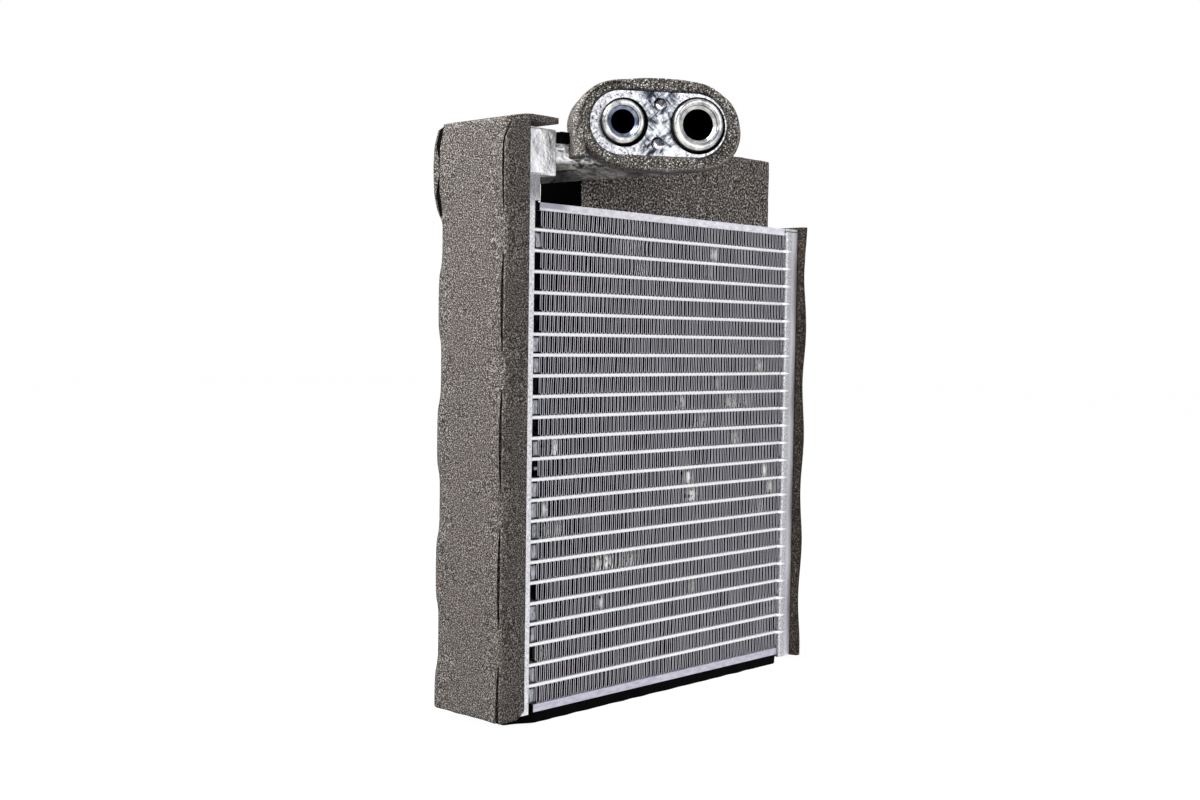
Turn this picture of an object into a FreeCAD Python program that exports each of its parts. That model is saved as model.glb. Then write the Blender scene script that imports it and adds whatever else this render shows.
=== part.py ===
import FreeCAD, Part
import math
import os
import re
import Sketcher

# Air conditioning evaporator: a brazed aluminium core of flat tubes and folded fins between
# two upright headers, with a stamped duct to a two-port connector block and foam seals.
# X runs along the core from the inlet header, -Y is the front face and Z is up.
# The origin is under the middle of the core, on the underside of the bottom foam strip.

doc = FreeCAD.newDocument("evaporator")
V = FreeCAD.Vector

# Driving dimensions, in millimetres, degrees or counts
SIZES = {
    # Core
    "core_width": 190.8,          # between the two headers
    "core_depth": 33.0,
    "tube_count": 23,
    "tube_height": 1.5,
    "tube_bevel": 0.45,
    "tube_wall": 0.35,
    "tube_web": 0.5,
    "tube_ports": 2,
    "tube_insert": 3.0,           # how far a tube reaches into a header
    "tube_clearance": 0.1,        # round a tube in its slot
    "fin_height": 8.0,
    "fin_folds": 14,              # full waves in one row
    "fin_sheet": 0.4,
    "fin_setback": 0.6,           # behind the front and back of the tubes
    "fin_gap_inlet": 3.3,         # bare tube beside the inlet header
    "fin_gap_return": 0.5,
    # Side plates below and above the fins
    "plate_height": 3.6,
    "plate_sheet": 1.2,
    "plate_gap": 3.5,             # between a plate's end and the inlet header
    "plate_clearance": 0.3,       # at the return header
    # Headers
    "header_wall": 1.3,
    "header_play": 0.2,           # between the tubes' edges and the front and back walls
    "header_round": 1.0,
    "inlet_header_width": 18.8,
    "inlet_header_rise": 33.3,    # above the top side plate
    "head_step": 3.0,             # the raised head is wider towards the core
    "head_gap": 0.4,              # between that head and the top side plate
    "return_header_width": 10.1,
    "return_header_drop": 1.5,    # below the bottom side plate
    # Bracket in front of the duct's neck, beside the inlet header's head
    "bracket_width": 9.3,
    "bracket_height": 20.9,
    "bracket_recess": 1.2,
    "bracket_rim": 2.4,
    # Connector block
    "block_offset": 44.2,         # centre of its face past the inlet header's head
    "block_lead": 33.0,           # that centre in front of the core
    "block_rise": 37.35,          # port centres above the top side plate
    "block_turn": 34.5,           # about the vertical, to face out and to the left
    "block_thickness": 12.0,
    "block_radius": 14.8,
    "block_edge": 0.8,
    "port_spacing": 35.4,
    "liquid_bore": 11.0,
    "liquid_nipple": 19.8,
    "vapour_bore": 14.3,
    "vapour_nipple": 23.7,
    "nipple_length": 4.5,
    "nipple_chamfer": 1.0,
    "nipple_step": 1.7,           # width of the sunk ring inside a nipple
    "nipple_step_depth": 1.2,
    "spot_face_width": 1.5,
    "spot_face_depth": 0.6,
    "bolt_hole": 5.3,
    "bolt_spacing": 18.0,
    "bolt_skew": 3.4,             # lean of the line through the bolt holes
    # Stamped duct behind the block; drops are below the port centres
    "duct_depth": 9.0,
    "duct_draft": 27.0,
    "duct_wall": 1.4,
    "duct_back_sheet": 1.5,
    "duct_radius": 19.5,          # of its rounds about the ports, at the back
    "duct_fall": 6.1,             # slope of the neck's underside
    "duct_top_fall": 6.8,         # slope of the neck's top
    "channel_wall": 1.5,          # between a channel and the drafted flank
    "channel_split": 16.6,        # middle of the land between the channels, at the duct's end
    "channel_rise": 12.5,         # the same beside the liquid port
    "channel_land": 1.6,
    "channel_margin": 0.6,        # past a port's bore
    # Foam
    "foam_wall": 4.2,
    "foam_round": 2.6,
    "foam_clearance": 0.1,
    "wrap_front_flap": 11.0,      # cover of the inlet header's front
    "wrap_back_flap": 13.0,
    "wrap_top_reach": 5.8,        # top flap past the inlet header's head
    "slit_width": 0.8,
    "slit_depth": 3.2,
    "slit_length": 44.4,
    "slit_bridge": 16.9,          # foam left whole between two slits
    "slit_first_top": 25.8,       # top of the lowest slit above the wrap's foot
    "slit_count": 5,
    "return_lip": 4.2,            # how far the return wrap stands past the header's face
    "return_back_flap": 8.0,
    "return_wrap_rise": 1.4,      # above the top side plate
    "bottom_foam": 5.15,
    "bottom_foam_reach": 14.0,    # under the inlet header
    "bottom_foam_gap": 1.5,       # short of the return header
    "pad_height": 36.0,
    "pad_left": 35.8,             # from the inlet header
    "pad_right": 8.5,             # from the return header
    "pad_setback": 5.0,           # behind the core's front
    "ring_foam": 6.2,
    "ring_proud": 1.0,
    "ring_back_gap": 0.3,
    "ring_lap_radius": 22.0,      # outer curve of the lapped end
    "ring_lap_bed": 18.0,         # inner curve, buried in the ring
    "ring_lap_shift": 4.2,
    "ring_lap_tilt": 200.0,       # angles round the liquid port
    "ring_lap_start": 85.0,
    "ring_lap_end": 219.0,
    # Room that a cut is given past what it cuts
    "cut_over": 2.0,
}

sheet = doc.addObject("Spreadsheet::Sheet", "sizes")
for row, (alias, size) in enumerate(SIZES.items(), start=1):
    cell = "A%d" % row
    sheet.set(cell, str(size))
    sheet.setAlias(cell, alias)
doc.recompute()


# Expressions and small helpers

def qualified(text):
    """The expression with each size written as the sheet's own cell."""
    def name(match):
        word = match.group()
        return "sizes." + word if word in SIZES else word
    return re.sub(r"[a-z][a-z_0-9]*", name, text)


def bind(thing, path, text):
    thing.setExpression(path, qualified(text))


def value(text):
    """The number that an expression gives now."""
    number = sheet.evalExpression(qualified(text))
    return float(getattr(number, "Value", number))


def place(body, x="0", y="0", z="0", turn="0"):
    """Bind the place of a body, and its turn about the vertical in degrees."""
    for axis, text in zip("xyz", (x, y, z)):
        bind(body, "Placement.Base." + axis, text)
    bind(body, "Placement.Rotation.Yaw", turn)


def new_body(label):
    body = doc.addObject("PartDesign::Body", label)
    body.Label = label
    return body


def origin_part(body, role):
    """One of the body's own origin planes or axes."""
    return next(item for item in body.Origin.OriginFeatures if item.Role == role)


def new_sketch(body, name, role, offset="0"):
    """A sketch on one of the body's own origin planes, or the stated distance in front of it."""
    sketch = body.newObject("Sketcher::SketchObject", name)
    sketch.AttachmentSupport = [(origin_part(body, role), "")]
    sketch.MapMode = "FlatFace"
    bind(sketch, "AttachmentOffset.Base.z", offset)
    return sketch


def hold(sketch, kind, geometry, point, text):
    """Hold one coordinate of a point at an expression, measured from the sketch's origin."""
    index = sketch.addConstraint(
        Sketcher.Constraint(kind, -1, 1, geometry, point, value(text)))
    bind(sketch, "Constraints[%d]" % index, text)


def hold_point(sketch, geometry, point, x, y):
    hold(sketch, "DistanceX", geometry, point, x)
    hold(sketch, "DistanceY", geometry, point, y)


def hold_size(sketch, kind, geometry, text):
    """Hold a radius or a diameter at an expression."""
    index = sketch.addConstraint(Sketcher.Constraint(kind, geometry, value(text)))
    bind(sketch, "Constraints[%d]" % index, text)


def add_outline(sketch, corners):
    """A closed loop of straight edges whose corners are pairs of expressions."""
    spots = [V(value(x), value(y), 0) for x, y in corners]
    count = len(spots)
    lines = [sketch.addGeometry(Part.LineSegment(spots[i], spots[(i + 1) % count]))
             for i in range(count)]
    for i, line in enumerate(lines):
        following = lines[(i + 1) % count]
        sketch.addConstraint(Sketcher.Constraint("Coincident", line, 2, following, 1))
        hold_point(sketch, line, 1, *corners[i])


def add_rectangle(sketch, low_x, low_y, high_x, high_y):
    add_outline(sketch, [(low_x, low_y), (high_x, low_y), (high_x, high_y), (low_x, high_y)])


def add_circle(sketch, x, y, diameter):
    circle = Part.Circle(V(value(x), value(y), 0), V(0, 0, 1), value(diameter) / 2)
    index = sketch.addGeometry(circle)
    hold_point(sketch, index, 3, x, y)
    hold_size(sketch, "Diameter", index, diameter)


def add_stadium(sketch, half_run, radius):
    """Two straight runs and two half circles round the sketch's origin, along its x axis."""
    run = value(half_run)
    reach = value(radius)
    quarter = math.pi / 2
    bottom = sketch.addGeometry(Part.LineSegment(V(-run, -reach, 0), V(run, -reach, 0)))
    right = sketch.addGeometry(Part.ArcOfCircle(
        Part.Circle(V(run, 0, 0), V(0, 0, 1), reach), -quarter, quarter))
    top = sketch.addGeometry(Part.LineSegment(V(run, reach, 0), V(-run, reach, 0)))
    left = sketch.addGeometry(Part.ArcOfCircle(
        Part.Circle(V(-run, 0, 0), V(0, 0, 1), reach), quarter, 3 * quarter))
    for end, start in ((bottom, right), (right, top), (top, left), (left, bottom)):
        sketch.addConstraint(Sketcher.Constraint("Tangent", end, 2, start, 1))
    hold_point(sketch, right, 3, half_run, "0")
    hold(sketch, "DistanceX", left, 3, "-(%s)" % half_run)
    hold_size(sketch, "Radius", right, radius)


def add_feature(body, kind, name, sketch, length, along_normal):
    feature = body.newObject("PartDesign::" + kind, name)
    feature.Profile = sketch
    feature.Reversed = not along_normal
    bind(feature, "Length", length)
    body.Tip = feature
    return feature


def pad(body, name, sketch, length, along_normal=True):
    return add_feature(body, "Pad", name, sketch, length, along_normal)


def pocket(body, name, sketch, length, along_normal=False):
    """Cut a sketch's outline away, and make sure that it took something."""
    doc.recompute()
    before = body.Shape.Volume
    cut = add_feature(body, "Pocket", name, sketch, length, not along_normal)
    doc.recompute()
    if not body.Shape.Volume < before:
        raise RuntimeError(name + " cuts nothing")
    return cut


def repeat_up(body, name, cut, spacing, count):
    """Repeat a cut upwards at an even spacing."""
    pattern = body.newObject("PartDesign::LinearPattern", name)
    pattern.Originals = [cut]
    pattern.Direction = (origin_part(body, "Z_Axis"), [""])
    pattern.Mode = "Spacing"
    bind(pattern, "Offset", spacing)
    bind(pattern, "Occurrences", count)
    body.Tip = pattern
    doc.recompute()


def dress_edges(body, kind, name, test, path, size):
    """A fillet or a chamfer on the edges of the body so far that pass a test."""
    doc.recompute()
    base = body.Tip
    picked = ["Edge%d" % number for number, edge in enumerate(base.Shape.Edges, start=1)
              if test(edge)]
    if not picked:
        raise RuntimeError(name + " finds no edge")
    feature = body.newObject("PartDesign::" + kind, name)
    feature.Base = (base, picked)
    bind(feature, path, size)
    body.Tip = feature
    doc.recompute()


def round_edges(body, name, test, radius):
    dress_edges(body, "Fillet", name, test, "Radius", radius)


def break_edges(body, name, test, size):
    dress_edges(body, "Chamfer", name, test, "Size", size)


def runs_along(edge, axis):
    """True for a straight edge along the axis x, y or z."""
    straight = isinstance(edge.Curve, (Part.Line, Part.LineSegment))
    return straight and abs(abs(getattr(edge.Curve.Direction, axis)) - 1) < 1e-6


def lies_at(edge, axis, text):
    """True where the whole edge has this coordinate."""
    low = getattr(edge.BoundBox, axis + "Min")
    high = getattr(edge.BoundBox, axis + "Max")
    return max(abs(low - value(text)), abs(high - value(text))) < 1e-4


# Places that several pieces share
HALF_CORE = "(core_depth / 2)"
HALF_HEADER = "(core_depth / 2 + header_play + header_wall)"
PITCH = "(fin_height + tube_height)"
FIN_FOOT = "(bottom_foam + plate_height)"
FIN_TOP = "(%s + %s * tube_count + fin_height)" % (FIN_FOOT, PITCH)
PLATE_TOP = "(%s + plate_height)" % FIN_TOP
INLET_FACE = "(-core_width / 2)"
INLET_OUTER = "(-core_width / 2 - inlet_header_width)"
RETURN_FACE = "(core_width / 2)"
HEADER_TOP = "(%s + inlet_header_rise)" % PLATE_TOP
HEAD_FACE = "(%s + head_step)" % INLET_FACE
PORT_HEIGHT = "(%s + block_rise)" % PLATE_TOP
HALF_SPACING = "(port_spacing / 2)"
DUCT_BACK = "(block_thickness + duct_depth)"
BLOCK_X = "(%s + block_offset)" % HEAD_FACE
BLOCK_Y = "(-%s - block_lead)" % HALF_CORE
DRAFT = "(duct_depth * tan(duct_draft * 1deg))"
CHANNEL_INSET = "(%s + channel_wall)" % DRAFT


def along_duct(face, depth):
    """Where an upright plane across the core crosses the stated depth in the block's frame."""
    return "((%s - %s - %s * sin(block_turn * 1deg)) / cos(block_turn * 1deg))" % (
        face, BLOCK_X, depth)


def across_core(face, depth):
    """How far back the duct's stated depth lies where it crosses that upright plane."""
    return "(%s - %s * sin(block_turn * 1deg) + %s * cos(block_turn * 1deg))" % (
        BLOCK_Y, along_duct(face, depth), depth)


# How far the duct runs left of the block's centre before it is trimmed at the header's head
DUCT_REACH = "(cut_over - %s)" % along_duct(HEAD_FACE, "(%s + duct_back_sheet)" % DUCT_BACK)


def neck_top(reach, inset):
    """Height of the neck's top at a distance left of the block's centre, drawn in by the inset."""
    return "-((%s - %s) * tan(duct_top_fall * 1deg) + %s / cos(duct_top_fall * 1deg))" % (
        reach, HALF_SPACING, inset)


def neck_foot(inset):
    """Height of the neck's underside at the duct's far end, drawn in by the inset."""
    return "-((duct_radius - %s + (%s + %s) * sin(duct_fall * 1deg)) / cos(duct_fall * 1deg))" % (
        inset, DUCT_REACH, HALF_SPACING)


# Flat tubes

def tube(number):
    """A flat tube with bevelled edges and parallel ports, open at both ends."""
    body = new_body("flat_tube_%02d" % (number + 1))
    place(body, x="%s - tube_insert" % INLET_FACE,
          z="%s + %s * %d + fin_height + tube_height / 2" % (FIN_FOOT, PITCH, number))
    section = new_sketch(body, "section", "YZ_Plane")
    shoulder = "(%s - tube_bevel)" % HALF_CORE
    half_nose = "(tube_height / 2 - tube_bevel)"
    add_outline(section, [
        ("-" + HALF_CORE, "-" + half_nose), ("-" + shoulder, "-tube_height / 2"),
        (shoulder, "-tube_height / 2"), (HALF_CORE, "-" + half_nose), (HALF_CORE, half_nose),
        (shoulder, "tube_height / 2"), ("-" + shoulder, "tube_height / 2"),
        ("-" + HALF_CORE, half_nose)])
    half_run = "((core_depth - tube_height) / 2)"
    ports = int(value("tube_ports"))
    for port in range(ports):
        width = "((2 * %s - tube_web * %d) / %d)" % (half_run, ports - 1, ports)
        low = "(-%s + (%s + tube_web) * %d)" % (half_run, width, port)
        add_rectangle(section, low, "tube_wall - tube_height / 2",
                      "%s + %s" % (low, width), "tube_height / 2 - tube_wall")
    pad(body, "extrusion", section, "core_width + 2 * tube_insert")
    return body


# Folded fins

def fin_row(number):
    """One ribbon of sheet folded into waves that fill the space between two tubes."""
    folds = int(value("fin_folds"))
    step = value("core_width - fin_gap_inlet - fin_gap_return") / (2 * folds)
    rise = value("fin_height - fin_sheet")
    depth = value("core_depth - 2 * fin_setback")
    under = [V(step * i, 0, rise * (i % 2)) for i in range(2 * folds + 1)]
    over = [spot + V(0, 0, value("fin_sheet")) for spot in reversed(under)]
    fin = doc.addObject("Part::Feature", "fin_row_%02d" % (number + 1))
    fin.Label = fin.Name
    fin.Shape = Part.Face(Part.makePolygon(under + over + under[:1])).extrude(V(0, depth, 0))
    fin.Placement.Base = V(value("%s + fin_gap_inlet" % INLET_FACE), -depth / 2,
                           value("%s + %s * %d" % (FIN_FOOT, PITCH, number)))
    return fin


# Side plates

def side_plate(label, foot, web_below):
    """A channel whose web lies on the fins, with a lip along the front and the back."""
    body = new_body(label)
    place(body, x="%s + plate_gap" % INLET_FACE, z=foot)
    inner = "(core_depth / 2 - plate_sheet)"
    open_side, web = ("plate_height", "plate_sheet") if web_below else (
        "0", "plate_height - plate_sheet")
    closed_side = "0" if web_below else "plate_height"
    section = new_sketch(body, "channel", "YZ_Plane")
    add_outline(section, [
        ("-" + HALF_CORE, closed_side), (HALF_CORE, closed_side), (HALF_CORE, open_side),
        (inner, open_side), (inner, web), ("-" + inner, web), ("-" + inner, open_side),
        ("-" + HALF_CORE, open_side)])
    pad(body, "extrusion", section, "core_width - plate_gap - plate_clearance")
    return body


# Headers

def add_tank(body, name, width, foot, top):
    """The header's closed box between two heights, before it is hollowed."""
    plan = new_sketch(body, name + "_plan", "XY_Plane", foot)
    add_rectangle(plan, "0", "-" + HALF_HEADER, width, HALF_HEADER)
    pad(body, name, plan, "%s - %s" % (top, foot))


def hollow(body, width, foot, top):
    """The header's inner space, closed at both ends by its caps."""
    half_room = "(%s - header_wall)" % HALF_HEADER
    plan = new_sketch(body, "room_plan", "XY_Plane", "%s + header_wall" % foot)
    add_rectangle(plan, "header_wall", "-" + half_room, "%s - header_wall" % width, half_room)
    pocket(body, "inner_space", plan, "%s - %s - 2 * header_wall" % (top, foot),
           along_normal=True)


def slot_tubes(body, wall_inside):
    """One slot for each tube through the wall that faces the core."""
    slot = new_sketch(body, "slot", "YZ_Plane", "%s - header_wall / 2" % wall_inside)
    middle = "(%s + fin_height + tube_height / 2)" % FIN_FOOT
    half_slot = "(tube_height / 2 + tube_clearance)"
    add_rectangle(slot, "-(%s + tube_clearance)" % HALF_CORE, "%s - %s" % (middle, half_slot),
                  "%s + tube_clearance" % HALF_CORE, "%s + %s" % (middle, half_slot))
    cut = pocket(body, "tube_slot", slot, "2 * header_wall", along_normal=True)
    repeat_up(body, "tube_slots", cut, PITCH, "tube_count")


def inlet_header():
    """The tall tank on the left, with a wider head above the core that feeds the duct."""
    body = new_body("inlet_header")
    place(body, x=INLET_OUTER)
    width = "inlet_header_width"
    add_tank(body, "tank", width, "bottom_foam", HEADER_TOP)
    add_tank(body, "head", "inlet_header_width + head_step",
             "(%s + head_gap)" % PLATE_TOP, HEADER_TOP)
    round_edges(body, "uprights", lambda edge: runs_along(edge, "z"), "header_round")
    hollow(body, width, "bottom_foam", HEADER_TOP)
    slot_tubes(body, "inlet_header_width - header_wall")
    ports = new_sketch(body, "duct_ports", "YZ_Plane",
                       "inlet_header_width - header_wall - cut_over")
    front = across_core(HEAD_FACE, "(block_thickness + duct_wall + channel_land)")
    back = across_core(HEAD_FACE, "(%s - channel_land)" % DUCT_BACK)
    add_rectangle(ports, front, "%s - channel_split + channel_land" % PORT_HEIGHT,
                  back, "%s + %s" % (PORT_HEIGHT, neck_top(DUCT_REACH, CHANNEL_INSET)))
    add_rectangle(ports, front, "%s + %s + channel_land" % (
        PORT_HEIGHT, neck_foot(CHANNEL_INSET)),
                  back, "%s - channel_split - channel_land / 2" % PORT_HEIGHT)
    pocket(body, "duct_port_cuts", ports, "header_wall + head_step + 2 * cut_over",
           along_normal=True)
    return body


def return_header():
    """The narrow tank at the far end of the tubes."""
    body = new_body("return_header")
    foot = "(bottom_foam - return_header_drop)"
    place(body, x=RETURN_FACE)
    add_tank(body, "tank", "return_header_width", foot, PLATE_TOP)
    round_edges(body, "uprights", lambda edge: runs_along(edge, "z"), "header_round")
    hollow(body, "return_header_width", foot, PLATE_TOP)
    slot_tubes(body, "0")
    return body


# Bracket in front of the duct's neck

def bracket():
    """The stamped box in front of the duct's neck: its back lies on the duct's front face."""
    body = new_body("duct_bracket")
    place(body, x=HEAD_FACE, z="%s - bracket_height" % HEADER_TOP)
    plan = new_sketch(body, "plan", "XY_Plane")
    far_face = "(%s + bracket_width)" % HEAD_FACE
    add_outline(plan, [("0", "-" + HALF_HEADER), ("bracket_width", "-" + HALF_HEADER),
                       ("bracket_width", across_core(far_face, "block_thickness")),
                       ("0", across_core(HEAD_FACE, "block_thickness"))])
    pad(body, "box", plan, "bracket_height")
    recess = new_sketch(body, "recess_outline", "XZ_Plane", HALF_HEADER)
    add_rectangle(recess, "bracket_rim / 2", "bracket_rim", "bracket_width / 2",
                  "bracket_height - bracket_rim")
    pocket(body, "recess", recess, "bracket_recess")
    round_edges(body, "free_edge", lambda edge: lies_at(edge, "X", "bracket_width")
                and lies_at(edge, "Y", "-" + HALF_HEADER), "header_round")
    return body


# Connector block: its face is the local XZ plane, and its ports point along -Y

def at_block(body):
    """Stand a body in the block's own frame."""
    place(body, x=BLOCK_X, y=BLOCK_Y, z=PORT_HEIGHT, turn="-block_turn")


def nipple(body, name, side, diameter, bore):
    """A raised seat turned with its chamfer and inner step, in a spot-faced ring."""
    centre = side + HALF_SPACING
    ring = new_sketch(body, name + "_seat", "XZ_Plane")
    add_circle(ring, centre, "0", "%s + 2 * spot_face_width" % diameter)
    pocket(body, name + "_spot_face", ring, "spot_face_depth")
    outer = "%s + %s / 2" % (centre, diameter)
    inner = "%s + %s / 2 + nipple_step" % (centre, bore)
    profile = new_sketch(body, name + "_profile", "XY_Plane")
    add_outline(profile, [
        (centre, "nipple_step_depth - nipple_length"), (centre, "spot_face_depth"),
        (outer, "spot_face_depth"), (outer, "nipple_chamfer - nipple_length"),
        ("%s - nipple_chamfer" % outer, "-nipple_length"), (inner, "-nipple_length"),
        (inner, "nipple_step_depth - nipple_length")])
    spin = body.newObject("PartDesign::Revolution", name)
    spin.Profile = profile
    spin.ReferenceAxis = (profile, ["Edge1"])
    spin.Angle = 360
    body.Tip = spin
    doc.recompute()


def connector_block():
    """A flat stadium plate with two nipples, their bores and two bolt holes."""
    body = new_body("connector_block")
    at_block(body)
    plate = new_sketch(body, "plate_outline", "XZ_Plane")
    add_stadium(plate, HALF_SPACING, "block_radius")
    pad(body, "plate", plate, "block_thickness", along_normal=False)
    break_edges(body, "face_edge", lambda edge: lies_at(edge, "Y", "0"), "block_edge")
    nipple(body, "liquid_seat", "-", "liquid_nipple", "liquid_bore")
    nipple(body, "vapour_seat", "", "vapour_nipple", "vapour_bore")
    bores = new_sketch(body, "bores", "XZ_Plane", "nipple_length + cut_over")
    add_circle(bores, "-" + HALF_SPACING, "0", "liquid_bore")
    add_circle(bores, HALF_SPACING, "0", "vapour_bore")
    for side in ("", "-"):
        add_circle(bores, "%s(bolt_spacing / 2 * sin(bolt_skew * 1deg))" % side,
                   "%s(bolt_spacing / 2 * cos(bolt_skew * 1deg))" % side, "bolt_hole")
    pocket(body, "bored_holes", bores, "block_thickness + nipple_length + 2 * cut_over")
    return body


# Stamped duct, in the block's frame, with a liquid channel above a vapour channel

def round_outline(body):
    """The outline round both ports, where it meets the back plate."""
    sketch = new_sketch(body, "round_outline", "XZ_Plane", "-" + DUCT_BACK)
    add_stadium(sketch, HALF_SPACING, "duct_radius")
    return sketch


def neck_outline(body, name, depth, inset):
    """The neck's outline at a depth, drawn in by the inset.

    Its underside is tangent to the round at the vapour port, and its top falls away from the
    liquid port's centre.
    """
    sketch = new_sketch(body, name, "XZ_Plane", "-" + depth)
    radius = "(duct_radius - %s)" % inset
    add_outline(sketch, [
        ("-" + DUCT_REACH, neck_foot(inset)),
        ("%s + %s * sin(duct_fall * 1deg)" % (HALF_SPACING, radius),
         "-%s * cos(duct_fall * 1deg)" % radius),
        (HALF_SPACING, "0"),
        ("%s * sin(duct_top_fall * 1deg) - %s" % (inset, HALF_SPACING),
         "-%s * cos(duct_top_fall * 1deg)" % inset),
        ("-" + DUCT_REACH, neck_top(DUCT_REACH, inset))])
    return sketch


def trim_at_head(body):
    """Cut the duct's end to meet the flat side of the inlet header's head."""
    near_side = "(block_thickness - cut_over)"
    far_side = "(%s + duct_back_sheet + cut_over)" % DUCT_BACK
    end = "-(%s + duct_depth)" % DUCT_REACH
    plan = new_sketch(body, "end_plan", "XY_Plane", "duct_radius + cut_over")
    add_outline(plan, [(along_duct(HEAD_FACE, near_side), near_side),
                       (along_duct(HEAD_FACE, far_side), far_side),
                       (end, far_side), (end, near_side)])
    pocket(body, "end_cut", plan, "3 * duct_radius")


def duct_front():
    """The drafted front shell with its two channels and a hole at each port."""
    body = new_body("duct_front_shell")
    at_block(body)
    dome = pad(body, "drafted_round", round_outline(body), "duct_depth")
    bind(dome, "TaperAngle", "-duct_draft")
    neck = body.newObject("PartDesign::AdditiveLoft", "drafted_neck")
    neck.Profile = neck_outline(body, "neck_foot", DUCT_BACK, "0")
    neck.Sections = [neck_outline(body, "neck_face", "block_thickness", DRAFT)]
    neck.Ruled = True
    body.Tip = neck
    channels = new_sketch(body, "channels", "XZ_Plane", "-" + DUCT_BACK)
    past_liquid = "(liquid_bore / 2 + channel_margin)"
    past_vapour = "(vapour_bore / 2 + channel_margin)"
    liquid_left = "-(%s + %s)" % (HALF_SPACING, past_liquid)
    liquid_right = "-%s + %s" % (HALF_SPACING, past_liquid)
    add_outline(channels, [
        ("-" + DUCT_REACH, "-(channel_split - channel_land / 2)"),
        (liquid_right, "-(channel_rise - channel_land / 2)"), (liquid_right, past_liquid),
        (liquid_left, past_liquid),
        (liquid_left, neck_top("(%s + %s)" % (HALF_SPACING, past_liquid), CHANNEL_INSET)),
        ("-" + DUCT_REACH, neck_top(DUCT_REACH, CHANNEL_INSET))])
    vapour_left = "%s - %s" % (HALF_SPACING, past_vapour)
    vapour_right = "%s + %s" % (HALF_SPACING, past_vapour)
    add_outline(channels, [
        ("-" + DUCT_REACH, neck_foot(CHANNEL_INSET)),
        (HALF_SPACING, "%s - duct_radius" % CHANNEL_INSET),
        (vapour_right, "-" + past_vapour), (vapour_right, past_vapour),
        (vapour_left, past_vapour), (vapour_left, "-" + past_vapour),
        (liquid_right, "-(channel_rise + channel_land / 2)"),
        ("-" + DUCT_REACH, "-(channel_split + channel_land / 2)")])
    pocket(body, "channel_cuts", channels, "duct_depth - duct_wall", along_normal=True)
    holes = new_sketch(body, "port_holes", "XZ_Plane")
    add_circle(holes, "-" + HALF_SPACING, "0", "liquid_bore")
    add_circle(holes, HALF_SPACING, "0", "vapour_bore")
    pocket(body, "port_cuts", holes, DUCT_BACK)
    trim_at_head(body)
    return body


def duct_back():
    """The flat sheet that closes the duct behind."""
    body = new_body("duct_back_plate")
    at_block(body)
    pad(body, "round", round_outline(body), "duct_back_sheet", along_normal=False)
    neck = neck_outline(body, "neck_outline", DUCT_BACK, "0")
    pad(body, "neck", neck, "duct_back_sheet", along_normal=False)
    trim_at_head(body)
    return body


# Foam pieces

def ring_foam():
    """A strip of foam wound round the block, its end lapped over its start on the left."""
    body = new_body("block_foam_ring")
    at_block(body)
    depth = "block_thickness + ring_proud - ring_back_gap"
    ring = new_sketch(body, "ring_outline", "XZ_Plane", "ring_proud")
    add_stadium(ring, HALF_SPACING, "block_radius + ring_foam")
    add_stadium(ring, HALF_SPACING, "block_radius + foam_clearance")
    pad(body, "ring", ring, depth, along_normal=False)
    lap = new_sketch(body, "lap_outline", "XZ_Plane", "ring_proud")
    shifted = ("-%s + ring_lap_shift * cos(ring_lap_tilt * 1deg)" % HALF_SPACING,
               "ring_lap_shift * sin(ring_lap_tilt * 1deg)")
    bed = ("-" + HALF_SPACING, "0")
    arcs = []
    for (x, y), radius in ((shifted, "ring_lap_radius"), (bed, "ring_lap_bed")):
        circle = Part.Circle(V(value(x), value(y), 0), V(0, 0, 1), value(radius))
        arc = lap.addGeometry(Part.ArcOfCircle(circle, math.radians(value("ring_lap_start")),
                                               math.radians(value("ring_lap_end"))))
        hold_point(lap, arc, 3, x, y)
        hold_size(lap, "Radius", arc, radius)
        hold(lap, "DistanceX", arc, 1, "%s + %s * cos(ring_lap_start * 1deg)" % (x, radius))
        hold(lap, "DistanceY", arc, 2, "%s + %s * sin(ring_lap_end * 1deg)" % (y, radius))
        arcs.append(arc)
    for point in (1, 2):
        line = lap.addGeometry(Part.LineSegment(lap.getPoint(arcs[0], point),
                                                lap.getPoint(arcs[1], point)))
        lap.addConstraint(Sketcher.Constraint("Coincident", line, 1, arcs[0], point))
        lap.addConstraint(Sketcher.Constraint("Coincident", line, 2, arcs[1], point))
    pad(body, "lap", lap, depth, along_normal=False)
    return body


def cut_slits(body, name, side, corner_x):
    """Slits along one upright corner of the wrap, cut in across the fold."""
    half = "(slit_width / 2 * sin(45deg))"
    edge = "(%s + foam_wall)" % HALF_HEADER
    outside = "-cut_over"
    corners = [(outside, "-"), (outside, "+"), ("slit_depth", "+"), ("slit_depth", "-")]
    plan = new_sketch(body, name + "_plan", "XY_Plane",
                      "bottom_foam + slit_first_top - slit_length")
    add_outline(plan, [("%s + %s %s %s" % (corner_x, inward, sign, half),
                        "%s(%s - %s %s %s)" % (side, edge, inward, sign, half))
                       for inward, sign in corners])
    cut = pocket(body, name, plan, "slit_length", along_normal=True)
    repeat_up(body, name + "s", cut, "slit_length + slit_bridge", "slit_count")


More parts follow.
